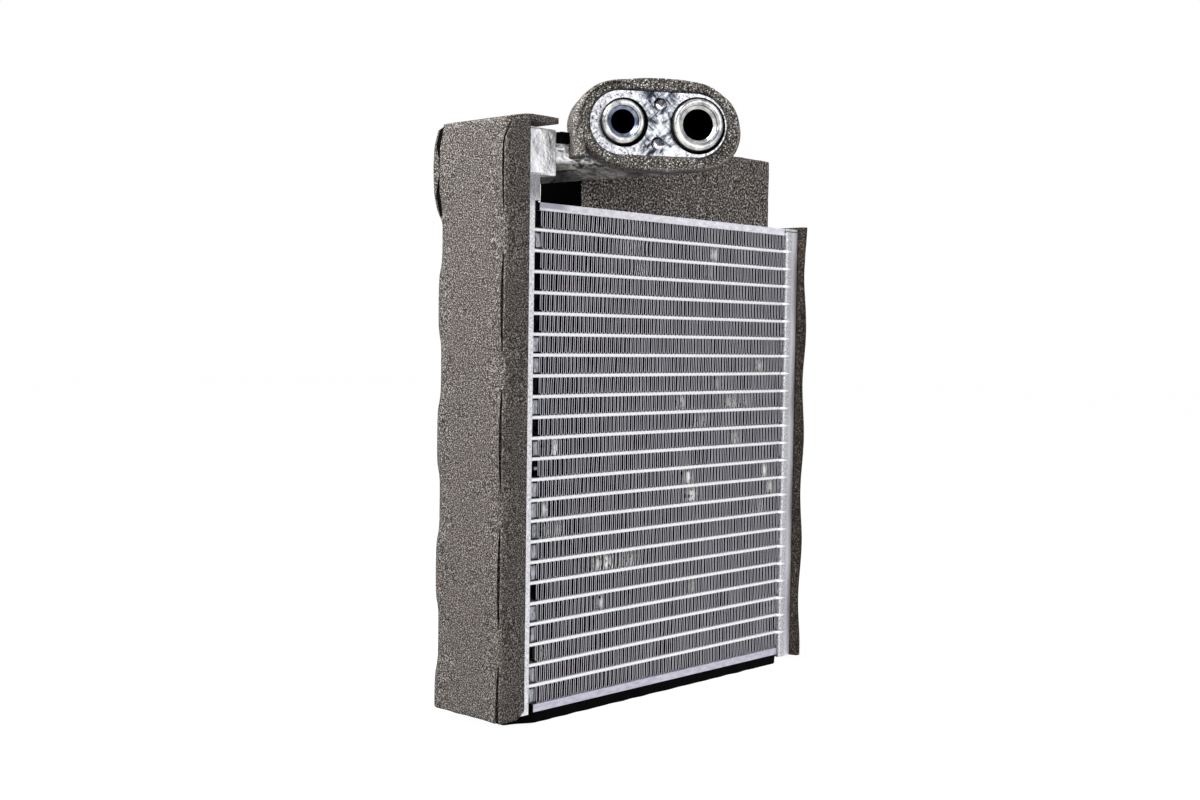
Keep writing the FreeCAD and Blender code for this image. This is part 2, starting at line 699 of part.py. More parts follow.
def inlet_wrap():
    """Sheet foam folded round the inlet header, with a flap over its top."""
    body = new_body("inlet_foam_wrap")
    outer_x = "(%s - foam_wall)" % INLET_OUTER
    inner_x = "(%s - foam_clearance)" % INLET_OUTER
    outer_y = "(%s + foam_wall)" % HALF_HEADER
    inner_y = "(%s + foam_clearance)" % HALF_HEADER
    front = "(%s + wrap_front_flap)" % INLET_OUTER
    back = "(%s + wrap_back_flap)" % INLET_OUTER
    section = new_sketch(body, "section", "XY_Plane", "bottom_foam")
    add_outline(section, [
        (outer_x, "-" + outer_y), (front, "-" + outer_y), (front, "-" + inner_y),
        (inner_x, "-" + inner_y), (inner_x, inner_y), (back, inner_y), (back, outer_y),
        (outer_x, outer_y)])
    top = "(%s + foam_wall)" % HEADER_TOP
    pad(body, "sides", section, "%s - bottom_foam" % top)
    flap = new_sketch(body, "flap_plan", "XY_Plane", "%s + foam_clearance" % HEADER_TOP)
    add_rectangle(flap, outer_x, "-" + outer_y, "%s + wrap_top_reach" % HEAD_FACE, outer_y)
    pad(body, "top_flap", flap, "foam_wall - foam_clearance")
    round_edges(body, "folds", lambda edge: lies_at(edge, "X", outer_x)
                and (runs_along(edge, "z") or lies_at(edge, "Z", top)), "foam_round")
    cut_slits(body, "front_slit", "-", outer_x)
    cut_slits(body, "back_slit", "", outer_x)
    return body


def return_wrap():
    """Sheet foam along the return header, standing proud in front and folded behind."""
    body = new_body("return_foam_wrap")
    place(body, x="%s + return_header_width" % RETURN_FACE)
    foot = "(bottom_foam - return_header_drop)"
    outer_y = "(%s + foam_wall)" % HALF_HEADER
    inner_y = "(%s + foam_clearance)" % HALF_HEADER
    front_y = "-(%s + return_lip)" % HALF_HEADER
    section = new_sketch(body, "section", "XY_Plane", foot)
    add_outline(section, [
        ("foam_clearance", front_y), ("foam_wall", front_y), ("foam_wall", outer_y),
        ("-return_back_flap", outer_y), ("-return_back_flap", inner_y),
        ("foam_clearance", inner_y)])
    pad(body, "sides", section, "%s + return_wrap_rise - %s" % (PLATE_TOP, foot))
    round_edges(body, "folds", lambda edge: runs_along(edge, "z")
                and lies_at(edge, "X", "foam_wall"), "foam_round")
    return body


def foam_bar(label, low_x, high_x, front, foot, height):
    """A plain bar of foam that runs along the core and back to its rear face."""
    body = new_body(label)
    plan = new_sketch(body, "plan", "XY_Plane", foot)
    add_rectangle(plan, low_x, front, high_x, HALF_CORE)
    pad(body, "bar", plan, height)
    return body


pieces = [fin_row(number) for number in range(int(value("tube_count")) + 1)]
pieces += [tube(number) for number in range(int(value("tube_count")))]
pieces += [
    side_plate("bottom_side_plate", "bottom_foam", web_below=False),
    side_plate("top_side_plate", FIN_TOP, web_below=True),
    inlet_header(),
    return_header(),
    bracket(),
    duct_front(),
    duct_back(),
    connector_block(),
    ring_foam(),
    inlet_wrap(),
    return_wrap(),
    foam_bar("bottom_foam_strip", "%s - bottom_foam_reach" % INLET_FACE,
             "%s - bottom_foam_gap" % RETURN_FACE, "-" + HALF_CORE, "0", "bottom_foam"),
    foam_bar("top_foam_pad", "%s + pad_left" % INLET_FACE, "%s - pad_right" % RETURN_FACE,
             "pad_setback - %s" % HALF_CORE, PLATE_TOP, "pad_height"),
]
doc.recompute()

for thing in doc.Objects:
    if "Invalid" in thing.State or "Error" in thing.State:
        raise RuntimeError("%s: %s" % (thing.Name, thing.State))
for piece in pieces:
    if piece.Shape.isNull() or not piece.Shape.isValid():
        raise RuntimeError(piece.Label + " has no valid shape")

os.makedirs("parts", exist_ok=True)
for piece in pieces:
    piece.Shape.exportStep("parts/%s.step" % piece.Label)
    print("%-20s %2d solids %9.1f mm3" % (
        piece.Label, len(piece.Shape.Solids), piece.Shape.Volume))
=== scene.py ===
import math

import bpy
import numpy as np
from mathutils import Matrix, Vector


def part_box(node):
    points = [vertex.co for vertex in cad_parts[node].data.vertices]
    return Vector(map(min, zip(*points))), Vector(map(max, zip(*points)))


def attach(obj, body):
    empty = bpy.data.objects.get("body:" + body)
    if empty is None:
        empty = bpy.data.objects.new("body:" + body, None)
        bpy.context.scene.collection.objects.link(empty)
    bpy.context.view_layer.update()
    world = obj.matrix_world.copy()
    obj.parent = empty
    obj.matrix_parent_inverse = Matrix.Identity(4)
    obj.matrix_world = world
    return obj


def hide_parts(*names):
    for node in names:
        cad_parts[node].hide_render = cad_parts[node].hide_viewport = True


# Air conditioning evaporator: brazed core, headers, stamped duct, connector block and foam seals.
# Sizes here are in millimetres and Blender's are in metres.
# X runs along the core from the inlet header, -Y is the front face and Z is up.

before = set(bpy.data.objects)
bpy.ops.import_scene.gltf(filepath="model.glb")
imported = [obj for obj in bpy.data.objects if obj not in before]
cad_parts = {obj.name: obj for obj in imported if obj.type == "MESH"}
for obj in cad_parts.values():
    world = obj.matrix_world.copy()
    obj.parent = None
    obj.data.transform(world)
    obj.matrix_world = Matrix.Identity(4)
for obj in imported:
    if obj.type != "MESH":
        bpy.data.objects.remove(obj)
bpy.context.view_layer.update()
MM = 0.001


def add_object(name, data):
    """A new object of the scene, at the origin."""
    item = bpy.data.objects.new(name, data)
    bpy.context.scene.collection.objects.link(item)
    return item


# Camera

def place_camera():
    """The photograph's viewpoint, from the axes of its picture plane."""
    data = bpy.data.cameras.new("camera")
    data.sensor_width = 36.0
    data.lens = 44.4
    data.clip_start = 0.01
    data.clip_end = 20.0
    camera = add_object("camera", data)
    place = Vector((-0.5627, -0.5, 0.1767))
    right = Vector((0.68634, -0.72712, 0.01528))
    up = Vector((0.01886, 0.0388, 0.99907))
    back = right.cross(up)
    axes = Matrix((right, up, back)).transposed().to_4x4()
    camera.matrix_world = Matrix.Translation(place) @ axes
    bpy.context.scene.camera = camera


# Node materials

def linear(code):
    """An sRGB hex colour as the linear colour that a shader takes."""
    levels = [int(code[i:i + 2], 16) / 255 for i in (1, 3, 5)]
    return tuple(c / 12.92 if c <= 0.04045 else ((c + 0.055) / 1.055) ** 2.4
                 for c in levels) + (1.0,)


def add(tree, kind, inputs=None, **settings):
    """A node with its settings, and its inputs set to values or linked to other nodes' sockets."""
    node = tree.nodes.new("ShaderNode" + kind)
    for name, setting in settings.items():
        setattr(node, name, setting)
    for socket, source in (inputs or {}).items():
        if isinstance(source, bpy.types.NodeSocket):
            tree.links.new(source, node.inputs[socket])
        else:
            node.inputs[socket].default_value = source
    return node


def ramp(tree, source, stops):
    """A colour ramp over a socket, from pairs of a place and a hex colour."""
    node = add(tree, "ValToRGB", {"Fac": source})
    marks = node.color_ramp.elements
    while len(marks) < len(stops):
        marks.new(0.5)
    for mark, (place, code) in zip(marks, stops):
        mark.position = place
        mark.color = linear(code)
    return node.outputs["Color"]


def new_material(name):
    """A material with its node tree, its shader and the socket of its Object coordinates."""
    material = bpy.data.materials.new(name)
    material.use_nodes = True
    tree = material.node_tree
    shader = next(node for node in tree.nodes if node.type == "BSDF_PRINCIPLED")
    spot = add(tree, "TexCoord").outputs["Object"]
    return material, tree, shader, spot


def map_range(tree, source, start, end, low=0.0, high=1.0):
    """A socket's value carried from start and end to low and high, and held beyond them."""
    return add(tree, "MapRange", {"Value": source, "From Min": start, "From Max": end,
                                  "To Min": low, "To Max": high}).outputs["Result"]


def combine(tree, operation, first, second):
    """What a math node makes of two values, each a number or a socket."""
    return add(tree, "Math", {0: first, 1: second}, operation=operation).outputs[0]


def along_axis(tree, spot, axis, start, end):
    """0 to 1 as a coordinate runs between two places in millimetres."""
    parts = add(tree, "SeparateXYZ", {0: spot})
    return map_range(tree, parts.outputs[axis], start * MM, end * MM)


def band(tree, spot, axis, start, full, fade, end):
    """1 from full to fade along an axis, and 0 before start and after end, in millimetres."""
    return combine(tree, "MINIMUM", along_axis(tree, spot, axis, start, full),
                   along_axis(tree, spot, axis, end, fade))


def blend(tree, share, first, second):
    """A mix of two colours, each a hex code or a socket."""
    node = add(tree, "Mix", {0: share}, data_type="RGBA")
    for socket, colour in ((node.inputs[6], first), (node.inputs[7], second)):
        if isinstance(colour, str):
            socket.default_value = linear(colour)
        else:
            tree.links.new(colour, socket)
    return node.outputs[2]


def foam_material(name, dark, body, light, cell, painted_glint=None, gloss=0.3):
    """Open-cell polyurethane foam: a matt skin of torn cells, dark in their hollows, with pale cell
    walls that catch the lamp as specks. The cells are drawn up to 1.2 mm wide, coarser than the
    real ones, so that the grain shows. A painted glint is a white speck painted on a cell wall as a
    highlight, where the wall would catch the lamp."""
    material, tree, shader, spot = new_material(name)
    size = 1 / (cell * MM)
    grain = add(tree, "TexNoise", {"Vector": spot, "Scale": size, "Detail": 2.0,
                                   "Roughness": 0.7}).outputs["Fac"]
    colour = ramp(tree, grain, [(0.4, dark), (0.48, body), (0.54, body), (0.62, light)])
    # Painted highlights: white specks on some cell walls, as glints of the lamp.
    if painted_glint:
        cells = add(tree, "TexVoronoi", {"Vector": spot, "Scale": size * 1.05})
        tone = add(tree, "SeparateXYZ", {0: cells.outputs["Color"]}).outputs["X"]
        lit = map_range(tree, tone, 0.8, 0.85)
        near = map_range(tree, cells.outputs["Distance"], 0.6, 0.35)
        colour = blend(tree, combine(tree, "MULTIPLY", lit, near), colour, painted_glint)
    tree.links.new(colour, shader.inputs["Base Color"])
    shader.inputs["Roughness"].default_value = 0.9
    shader.inputs["Specular IOR Level"].default_value = gloss
    bump = add(tree, "Bump", {"Height": grain, "Strength": 0.8, "Distance": 0.6 * MM})
    tree.links.new(bump.outputs["Normal"], shader.inputs["Normal"])
    return material


def metal_pattern(tree, spot, grain):
    """Noise stretched on each axis, as rolling, pressing or cutting leaves it."""
    place = add(tree, "Mapping", {"Vector": spot, "Scale": grain}).outputs["Vector"]
    return add(tree, "TexNoise", {"Vector": place, "Scale": 10.0, "Detail": 3.0,
                                  "Roughness": 0.6}).outputs["Fac"]


def finish_metal(tree, shader, pattern, colour, roughness, spread, strength, relief=0.3):
    """Bare metal whose gloss and relief, in millimetres, follow a pattern."""
    tree.links.new(colour, shader.inputs["Base Color"])
    gloss = map_range(tree, pattern, 0.3, 0.7, roughness - spread, roughness + spread)
    tree.links.new(gloss, shader.inputs["Roughness"])
    shader.inputs["Metallic"].default_value = 1.0
    bump = add(tree, "Bump", {"Height": pattern, "Strength": strength, "Distance": relief * MM})
    tree.links.new(bump.outputs["Normal"], shader.inputs["Normal"])


def aluminium_material(name, dark, light, roughness, grain=(60.0, 60.0, 60.0), strength=0.15,
                       relief=0.3):
    """Aluminium as the mill or the press leaves it: its tone and gloss drift in streaks."""
    material, tree, shader, spot = new_material(name)
    pattern = metal_pattern(tree, spot, grain)
    colour = ramp(tree, pattern, [(0.35, dark), (0.65, light)])
    finish_metal(tree, shader, pattern, colour, roughness, 0.1, strength, relief)
    return material


def fin_material():
    """Mill aluminium foil, louvred: its cut front edge is near white, partly the bright cut metal
    and partly a painted highlight, and just behind it the walls are painted dark, partly the first
    louvre's opening and partly painted shade between the fins. Further louvres are stripes across
    the depth. Where a knock has turned the front edges over, a painted highlight runs further back."""
    material, tree, shader, spot = new_material("louvred aluminium foil")
    pattern = metal_pattern(tree, spot, (40.0, 40.0, 14.0))
    walls = ramp(tree, pattern, [(0.35, "#15181d"), (0.52, "#2e323a"), (0.68, "#6c717c")])
    drift = metal_pattern(tree, spot, (2.6, 1.0, 11.0))
    walls = blend(tree, map_range(tree, drift, 0.46, 0.62, high=0.85), walls, "#16181b")
    # A wave texture repeats every 2 pi / 20 of its scale
    louvre_pitch = 1.0
    louvres = add(tree, "TexWave", {"Vector": spot, "Scale": 2 * math.pi / (20 * louvre_pitch * MM),
                                    "Distortion": 0.0}, bands_direction="Y").outputs["Fac"]
    walls = blend(tree, combine(tree, "MULTIPLY", louvres, 0.5), walls, "#2c2e33")
    # Painted shade between the fins: walls darkest just behind the front edge, partly the first
    # louvre's opening.
    walls = blend(tree, along_axis(tree, spot, "Y", -15.5, -14.0), "#101114", walls)
    # The front edge is near white: the bright cut metal, with a painted highlight.
    colour = blend(tree, along_axis(tree, spot, "Y", -15.84, -15.7), "#f7f5ff", walls)
    # Painted highlights: the knocked front edges are blended to white, in patches.
    knocked = add(tree, "Attribute", attribute_name="knocked").outputs["Fac"]
    glint_patches = map_range(tree, metal_pattern(tree, spot, (75.0, 10.0, 40.0)), 0.36, 0.46)
    colour = blend(tree, combine(tree, "MULTIPLY", knocked, glint_patches), colour, "#ffffff")
    finish_metal(tree, shader, pattern, colour, roughness=0.36, spread=0.08, strength=0.2)
    return material


def inlet_tank_material():
    """Brazed tank sheet of the inlet side: specked with flux, with a band below its head painted
    darker as shade, and a fine near-black line of painted shade on the step under the head."""
    material, tree, shader, spot = new_material("brazed aluminium sheet")
    pattern = metal_pattern(tree, spot, (110.0, 110.0, 90.0))
    sheet = ramp(tree, pattern, [(0.3, "#a8a7ac"), (0.42, "#cfced4"), (0.62, "#f2f1f5")])
    painted_shade_band = ramp(tree, pattern, [(0.35, "#7f7e82"), (0.65, "#b3b2b6")])
    # Painted shade: a band of the header under its head is darker.
    colour = blend(tree, band(tree, spot, "Z", 236.0, 243.0, 250.5, 252.5), sheet, painted_shade_band)
    # Painted shade: a near-black line on the head's underside, past the header's side.
    beside = along_axis(tree, spot, "X", -95.5, -95.2)
    step = combine(tree, "MINIMUM", band(tree, spot, "Z", 239.0, 239.2, 239.3, 239.5), beside)
    colour = blend(tree, step, colour, "#0a0a0b")
    finish_metal(tree, shader, pattern, colour, roughness=0.5, spread=0.1, strength=0.2)
    return material


def plate_material():
    """Brazed side plate: mill sheet with long rolling streaks, its left end painted dark as shade.
    The top plate is darker near that end, and the bottom plate is darker all over."""
    material, tree, shader, spot = new_material("brazed aluminium plate")
    pattern = metal_pattern(tree, spot, (20.0, 60.0, 60.0))
    sheet = ramp(tree, pattern, [(0.35, "#d0cfd8"), (0.65, "#f1f0f6")])
    lower = ramp(tree, pattern, [(0.35, "#b3b1bf"), (0.65, "#d2d0dc")])
    sheet = blend(tree, along_axis(tree, spot, "Z", 20.0, 10.0), sheet, lower)
    near_end = along_axis(tree, spot, "X", -70.0, -78.0)
    above_edge = along_axis(tree, spot, "Z", 236.0, 236.7)
    sheet = blend(tree, combine(tree, "MINIMUM", near_end, above_edge), sheet, "#aaa7b4")
    # Painted shade: the plates' left end faces, in the gap beside the inlet header, are near black.
    colour = blend(tree, along_axis(tree, spot, "X", -91.7, -91.3), "#1b1b1d", sheet)
    finish_metal(tree, shader, pattern, colour, roughness=0.5, spread=0.1, strength=0.15)
    return material


def duct_material():
    """Pressed aluminium sheet of the duct: bright on its face, painted darker below as shade."""
    material, tree, shader, spot = new_material("pressed aluminium duct")
    pattern = metal_pattern(tree, spot, (9.0, 9.0, 12.0))
    sheet = ramp(tree, pattern, [(0.35, "#dcdde2"), (0.6, "#ffffff")])
    dull = ramp(tree, pattern, [(0.35, "#4c4a48"), (0.65, "#8a8784")])
    # Painted shade: the duct's underside is darker.
    colour = blend(tree, along_axis(tree, spot, "Z", 257.5, 259.5), dull, sheet)
    finish_metal(tree, shader, pattern, colour, roughness=0.45, spread=0.1, strength=0.8,
                 relief=5.0)
    return material


def return_tank_material():
    """Brazed tank sheet: rough with flux residue beside the tubes, smoother over the outer half,
    with a fine dark joint under its cap."""
    material, tree, shader, spot = new_material("brazed aluminium tank")
    pattern = metal_pattern(tree, spot, (150.0, 150.0, 110.0))
    rough = ramp(tree, pattern, [(0.36, "#8e9096"), (0.5, "#c9cacf"), (0.62, "#ededf1")])
    smooth = ramp(tree, pattern, [(0.3, "#dddce6"), (0.7, "#f6f5fb")])
    colour = blend(tree, along_axis(tree, spot, "X", 99.2, 101.0), rough, smooth)
    joint = band(tree, spot, "Z", 237.0, 237.3, 237.45, 237.75)
    colour = blend(tree, joint, colour, "#3c3b40")
    finish_metal(tree, shader, pattern, colour, roughness=0.5, spread=0.12, strength=0.35)
    return material


def machined_material(centre, turn):
    """Machined aluminium face in the block's own frame: lightened in patches as painted highlights,
    with crossed cutter marks between the two ports, their dark bluish tones partly a painted
    reflection, and plain beyond them."""
    material, tree, shader, spot = new_material("machined aluminium")
    local = add(tree, "Mapping", {"Vector": spot, "Location": tuple(centre * MM),
                                  "Rotation": (0.0, 0.0, -turn)}, vector_type="TEXTURE")
    local = local.outputs["Vector"]
    marks = []
    for lean in (-0.75, 0.75):
        slanted = add(tree, "Mapping", {"Vector": local, "Rotation": (0.0, lean, 0.0)})
        slanted = add(tree, "Mapping", {"Vector": slanted.outputs["Vector"],
                                        "Scale": (48.0, 10.0, 13.0)}).outputs["Vector"]
        marks.append(add(tree, "TexNoise", {"Vector": slanted, "Scale": 8.0, "Detail": 3.0,
                                            "Roughness": 0.65}).outputs["Fac"])
    crossed = combine(tree, "MINIMUM", *marks)
    # The cutter marks' dark bluish tones are partly a painted reflection.
    cut = ramp(tree, crossed, [(0.38, "#1d2027"), (0.44, "#50545e"), (0.49, "#85888f"),
                               (0.6, "#dddee2")])
    fine = metal_pattern(tree, spot, (90.0, 90.0, 90.0))
    plain = ramp(tree, fine, [(0.34, "#2c2c30"), (0.4, "#85858c"), (0.48, "#aaaab1"),
                              (0.62, "#d2d2d7")])
    across = add(tree, "SeparateXYZ", {0: local}).outputs["X"]
    across = add(tree, "Math", {0: across}, operation="ABSOLUTE").outputs[0]
    patches = metal_pattern(tree, spot, (16.0, 16.0, 16.0))
    # Painted highlights: light patches over the cutter marks.
    cut = blend(tree, map_range(tree, patches, 0.52, 0.62, high=0.7), cut, "#d4d5da")
    colour = blend(tree, map_range(tree, across, 7.0 * MM, 10.0 * MM), cut, plain)
    finish_metal(tree, shader, crossed, colour, roughness=0.3, spread=0.1, strength=0.25)
    return material


# Meshes from arrays

def shell_volume(points, groups):
    """Signed volume inside a closed shell, summed over fans of each face's corners."""
    total = 0.0
    for group in groups:
        first = points[group[:, 0]]
        for k in range(1, group.shape[1] - 1):
            total += (first * np.cross(points[group[:, k]], points[group[:, k + 1]])).sum()
    return total / 6


def add_piece(name, shells, material, replaced=()):
    """One smooth mesh object from closed shells of (points in millimetres, groups of faces), each
    turned so that its faces point outwards."""
    faces = []
    start = 0
    for points, groups in shells:
        order = 1 if shell_volume(points, groups) > 0 else -1
        for group in groups:
            faces += (group[:, ::order] + start).tolist()
        start += len(points)
    mesh = bpy.data.meshes.new(name)
    mesh.from_pydata((np.concatenate([shell[0] for shell in shells]) * MM).tolist(), [], faces)
    mesh.polygons.foreach_set("use_smooth", [True] * len(mesh.polygons))
    mesh.materials.append(material)
    piece = add_object(name, mesh)
    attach(piece, "root")
    if replaced:
        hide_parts(*replaced)
    return piece


def repaint(piece, material, choose):
    """A further material on the faces that choose picks by their middles and normals."""
    polygons = piece.data.polygons
    middles = np.empty(len(polygons) * 3)
    normals = np.empty(len(polygons) * 3)
    index = np.empty(len(polygons), dtype=np.int32)
    polygons.foreach_get("center", middles)
    polygons.foreach_get("normal", normals)
    polygons.foreach_get("material_index", index)
    index[choose(middles.reshape(-1, 3) / MM, normals.reshape(-1, 3))] = len(piece.data.materials)
    piece.data.materials.append(material)
    polygons.foreach_set("material_index", index)


def first_faces(piece, chosen):
    """A mask over all faces of a piece, from one over those of its first shell's sides."""
    mask = np.zeros(len(piece.data.polygons), dtype=bool)
    mask[:chosen.size] = chosen.ravel()
    return mask


def swept(sections, closed=False):
    """A shell through sections of shape (stations, points, 3): each section is a closed loop, and
    neighbouring sections are joined by quads. Open ends are closed by one face each."""
    count, around = sections.shape[:2]
    row = np.arange(count if closed else count - 1)[:, None]
    column = np.arange(around)[None, :]
    nearby = (row + 1) % count
    beside = (column + 1) % around
    quads = np.stack([row * around + column, row * around + beside,
                      nearby * around + beside, nearby * around + column], axis=-1)
    groups = [quads.reshape(-1, 4)]
    if not closed:
        groups.append(np.arange(around)[None, ::-1])
        groups.append((count - 1) * around + np.arange(around)[None, :])
    return sections.reshape(-1, 3), groups


def stacked(outline, heights):
    """Sections that repeat a flat outline at each height."""
    sections = np.empty((len(heights), len(outline), 3))
    sections[:, :, :2] = outline
    sections[:, :, 2] = heights[:, None]
    return sections


def rounded_outline(corners, radii, step, arc_points=7):
    """A closed outline through corners in the plane, each turned by an arc of its own radius, with
    points about one step apart on the straight runs."""
    corners = np.asarray(corners, dtype=float)
    into = corners - np.roll(corners, 1, axis=0)
    into /= np.linalg.norm(into, axis=1)[:, None]
    out = np.roll(into, -1, axis=0)
    turn = np.arctan2(into[:, 0] * out[:, 1] - into[:, 1] * out[:, 0], (into * out).sum(axis=1))
    reach = np.asarray(radii, dtype=float) * np.abs(np.tan(turn / 2))
    pieces = []
    for i, radius in enumerate(radii):
        angle = np.linspace(0, turn[i], arc_points if radius else 1)[:, None]
        normal = np.array([-into[i][1], into[i][0]]) * np.sign(turn[i])
        centre = corners[i] - into[i] * reach[i] + normal * radius
        pieces.append(centre - normal * radius * np.cos(angle)
                      + into[i] * radius * np.abs(np.sin(angle)))
        following = (i + 1) % len(corners)
        run_start = corners[i] + out[i] * reach[i]
        run_end = corners[following] - out[i] * reach[following]
        steps = max(int(np.linalg.norm(run_end - run_start) / step), 1)
        share = np.linspace(0, 1, steps + 1)[1:-1, None]
        pieces.append(run_start + (run_end - run_start) * share)
    return np.concatenate(pieces)


def distance_along(route):
    """The distance along a closed route to each of its points, and the length of it all."""
    steps = np.linalg.norm(np.roll(route, -1, axis=0) - route, axis=1)
    return np.concatenate([[0], np.cumsum(steps)[:-1]]), steps.sum()


def ripple(points, wavelength, seed):
    """A smooth uneven height at each point: the sum of plane waves of random direction."""
    draw = np.random.default_rng(seed)
    waves = 9
    directions = draw.normal(size=(waves, 3))
    directions /= np.linalg.norm(directions, axis=1)[:, None]
    lengths = wavelength * draw.uniform(0.7, 1.6, waves)
    phases = draw.uniform(0, 2 * np.pi, waves)
    return np.sin(points @ (directions / lengths[:, None]).T * 2 * np.pi + phases).sum(
        axis=-1) / math.sqrt(waves)


def step_up(values, start, end):
    """0 before start and 1 after end, with a smooth rise between."""
    share = np.clip((values - start) / (end - start), 0, 1)
    return share * share * (3 - 2 * share)


def span(node):
    """The lowest and highest corner of a CAD node, in millimetres."""
    low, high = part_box(node)
    return np.array(low) / MM, np.array(high) / MM


def nodes_from(start):
    """The CAD nodes whose names have this start, in order."""
    return sorted(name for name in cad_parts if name.startswith(start))


def soft_bar(low, high, radius, step, roughness, seed):
    """A bar of foam along X with rounded edges and ends: the section is a rounded rectangle that
    draws in by a quarter circle at each end, and its surface is uneven by a small ripple."""
    middle = (low + high) / 2
    half = (high - low) / 2
    along = np.linspace(-half[0], half[0], int(2 * half[0] / step))
    cap = radius * (1 - np.cos(np.linspace(0, np.pi / 2, 5)[:-1]))
    along = np.concatenate([-half[0] + cap, along[np.abs(along) < half[0] - radius * 1.01],
                            half[0] - cap[::-1]])
    depth = np.clip((half[0] - np.abs(along)) / radius, 0, 1)
    inset = radius * (1 - np.sqrt(1 - (1 - depth) ** 2))
    outline = rounded_outline([(-half[1], -half[2]), (half[1], -half[2]), (half[1], half[2]),
                               (-half[1], half[2])], [radius] * 4, step)
    loops = outline - np.sign(outline) * np.minimum(inset[:, None, None], np.abs(outline))
    sections = np.concatenate([np.broadcast_to(along[:, None, None],
                                               (len(along), len(outline), 1)), loops], axis=2)
    bumps = ripple(sections, 9.0, seed)[..., None] * roughness
    length = np.maximum(np.linalg.norm(loops, axis=2, keepdims=True), 1e-6)
    outward = np.concatenate([np.zeros_like(bumps), loops / length], axis=2)
    return swept(sections + outward * bumps + middle)


# Core

FIN_WAVES = 67
FIN_SHEET = 0.13
# Gap between the header and the first wave
FIN_START = 2.2
# Share of a wave that its top loop spans
TOP_LOOP = 0.4
ROW_PITCH = 9.5
# Knocks on the fins' front edges: x, z, half width, how far the edges bend over, bow of the walls
KNOCKS = np.array([
    [-24.9, 231.2, 11.0, 0.15, 0.75], [-24.7, 221.7, 12.0, 0.30, -0.80],
    [-22.0, 212.2, 9.0, 0.20, 0.60], [35.6, 221.7, 2.2, 1.10, 0.20],
    [30.0, 212.2, 2.5, 0.50, 0.30], [-91.0, 126.7, 2.5, 1.10, 0.20],
    [-81.2, 126.7, 4.0, 0.90, 0.20], [-86.0, 98.2, 3.0, 1.20, 0.20],
    [-84.9, 88.7, 3.5, 1.20, 0.30], [-76.0, 88.7, 2.5, 1.00, 0.10],
    [-47.0, 69.7, 8.0, 1.20, 0.30], [-28.0, 69.7, 5.5, 1.20, 0.30],
    [-87.1, 31.7, 3.5, 1.10, 0.20], [-47.1, 50.7, 3.0, 0.70, 0.10],
    [9.7, 145.7, 3.0, 0.90, 0.20], [16.3, 107.7, 4.0, 1.10, 0.30],
    [20.5, 98.2, 4.5, 1.20, 0.30], [25.9, 136.2, 5.0, 0.60, 0.20],
    [50.4, 145.7, 5.0, 0.80, 0.20], [63.3, 145.7, 4.0, 0.70, 0.10],
    [55.2, 126.7, 4.0, 0.70, 0.20], [86.8, 102.0, 4.0, 1.00, 0.20],
    [82.1, 107.7, 4.0, 0.90, 0.20], [78.1, 88.7, 3.0, 0.60, 0.10],
    [89.1, 31.7, 3.0, 0.70, 0.10], [20.3, 50.7, 3.0, 0.60, 0.10],
    [75.0, 164.7, 4.0, 0.80, 0.10], [40.0, 155.2, 3.0, 0.60, 0.10]])
# Rows, counted from the top, whose end leg is flattened towards the inlet header
FLAT_END_ROWS = (2, 7, 8, 10, 12, 14, 15, 16, 17, 18, 20, 21, 23, 24)
STUB_ROW = 13


def row_knocks(x, level):
    """For each knock of the row at this level, its bell over places along X and its amounts."""
    for place, height, width, turned_over, bow in KNOCKS:
        if abs(height - level) < ROW_PITCH / 2:
            yield np.exp(-((x - place) / width) ** 2), turned_over, bow


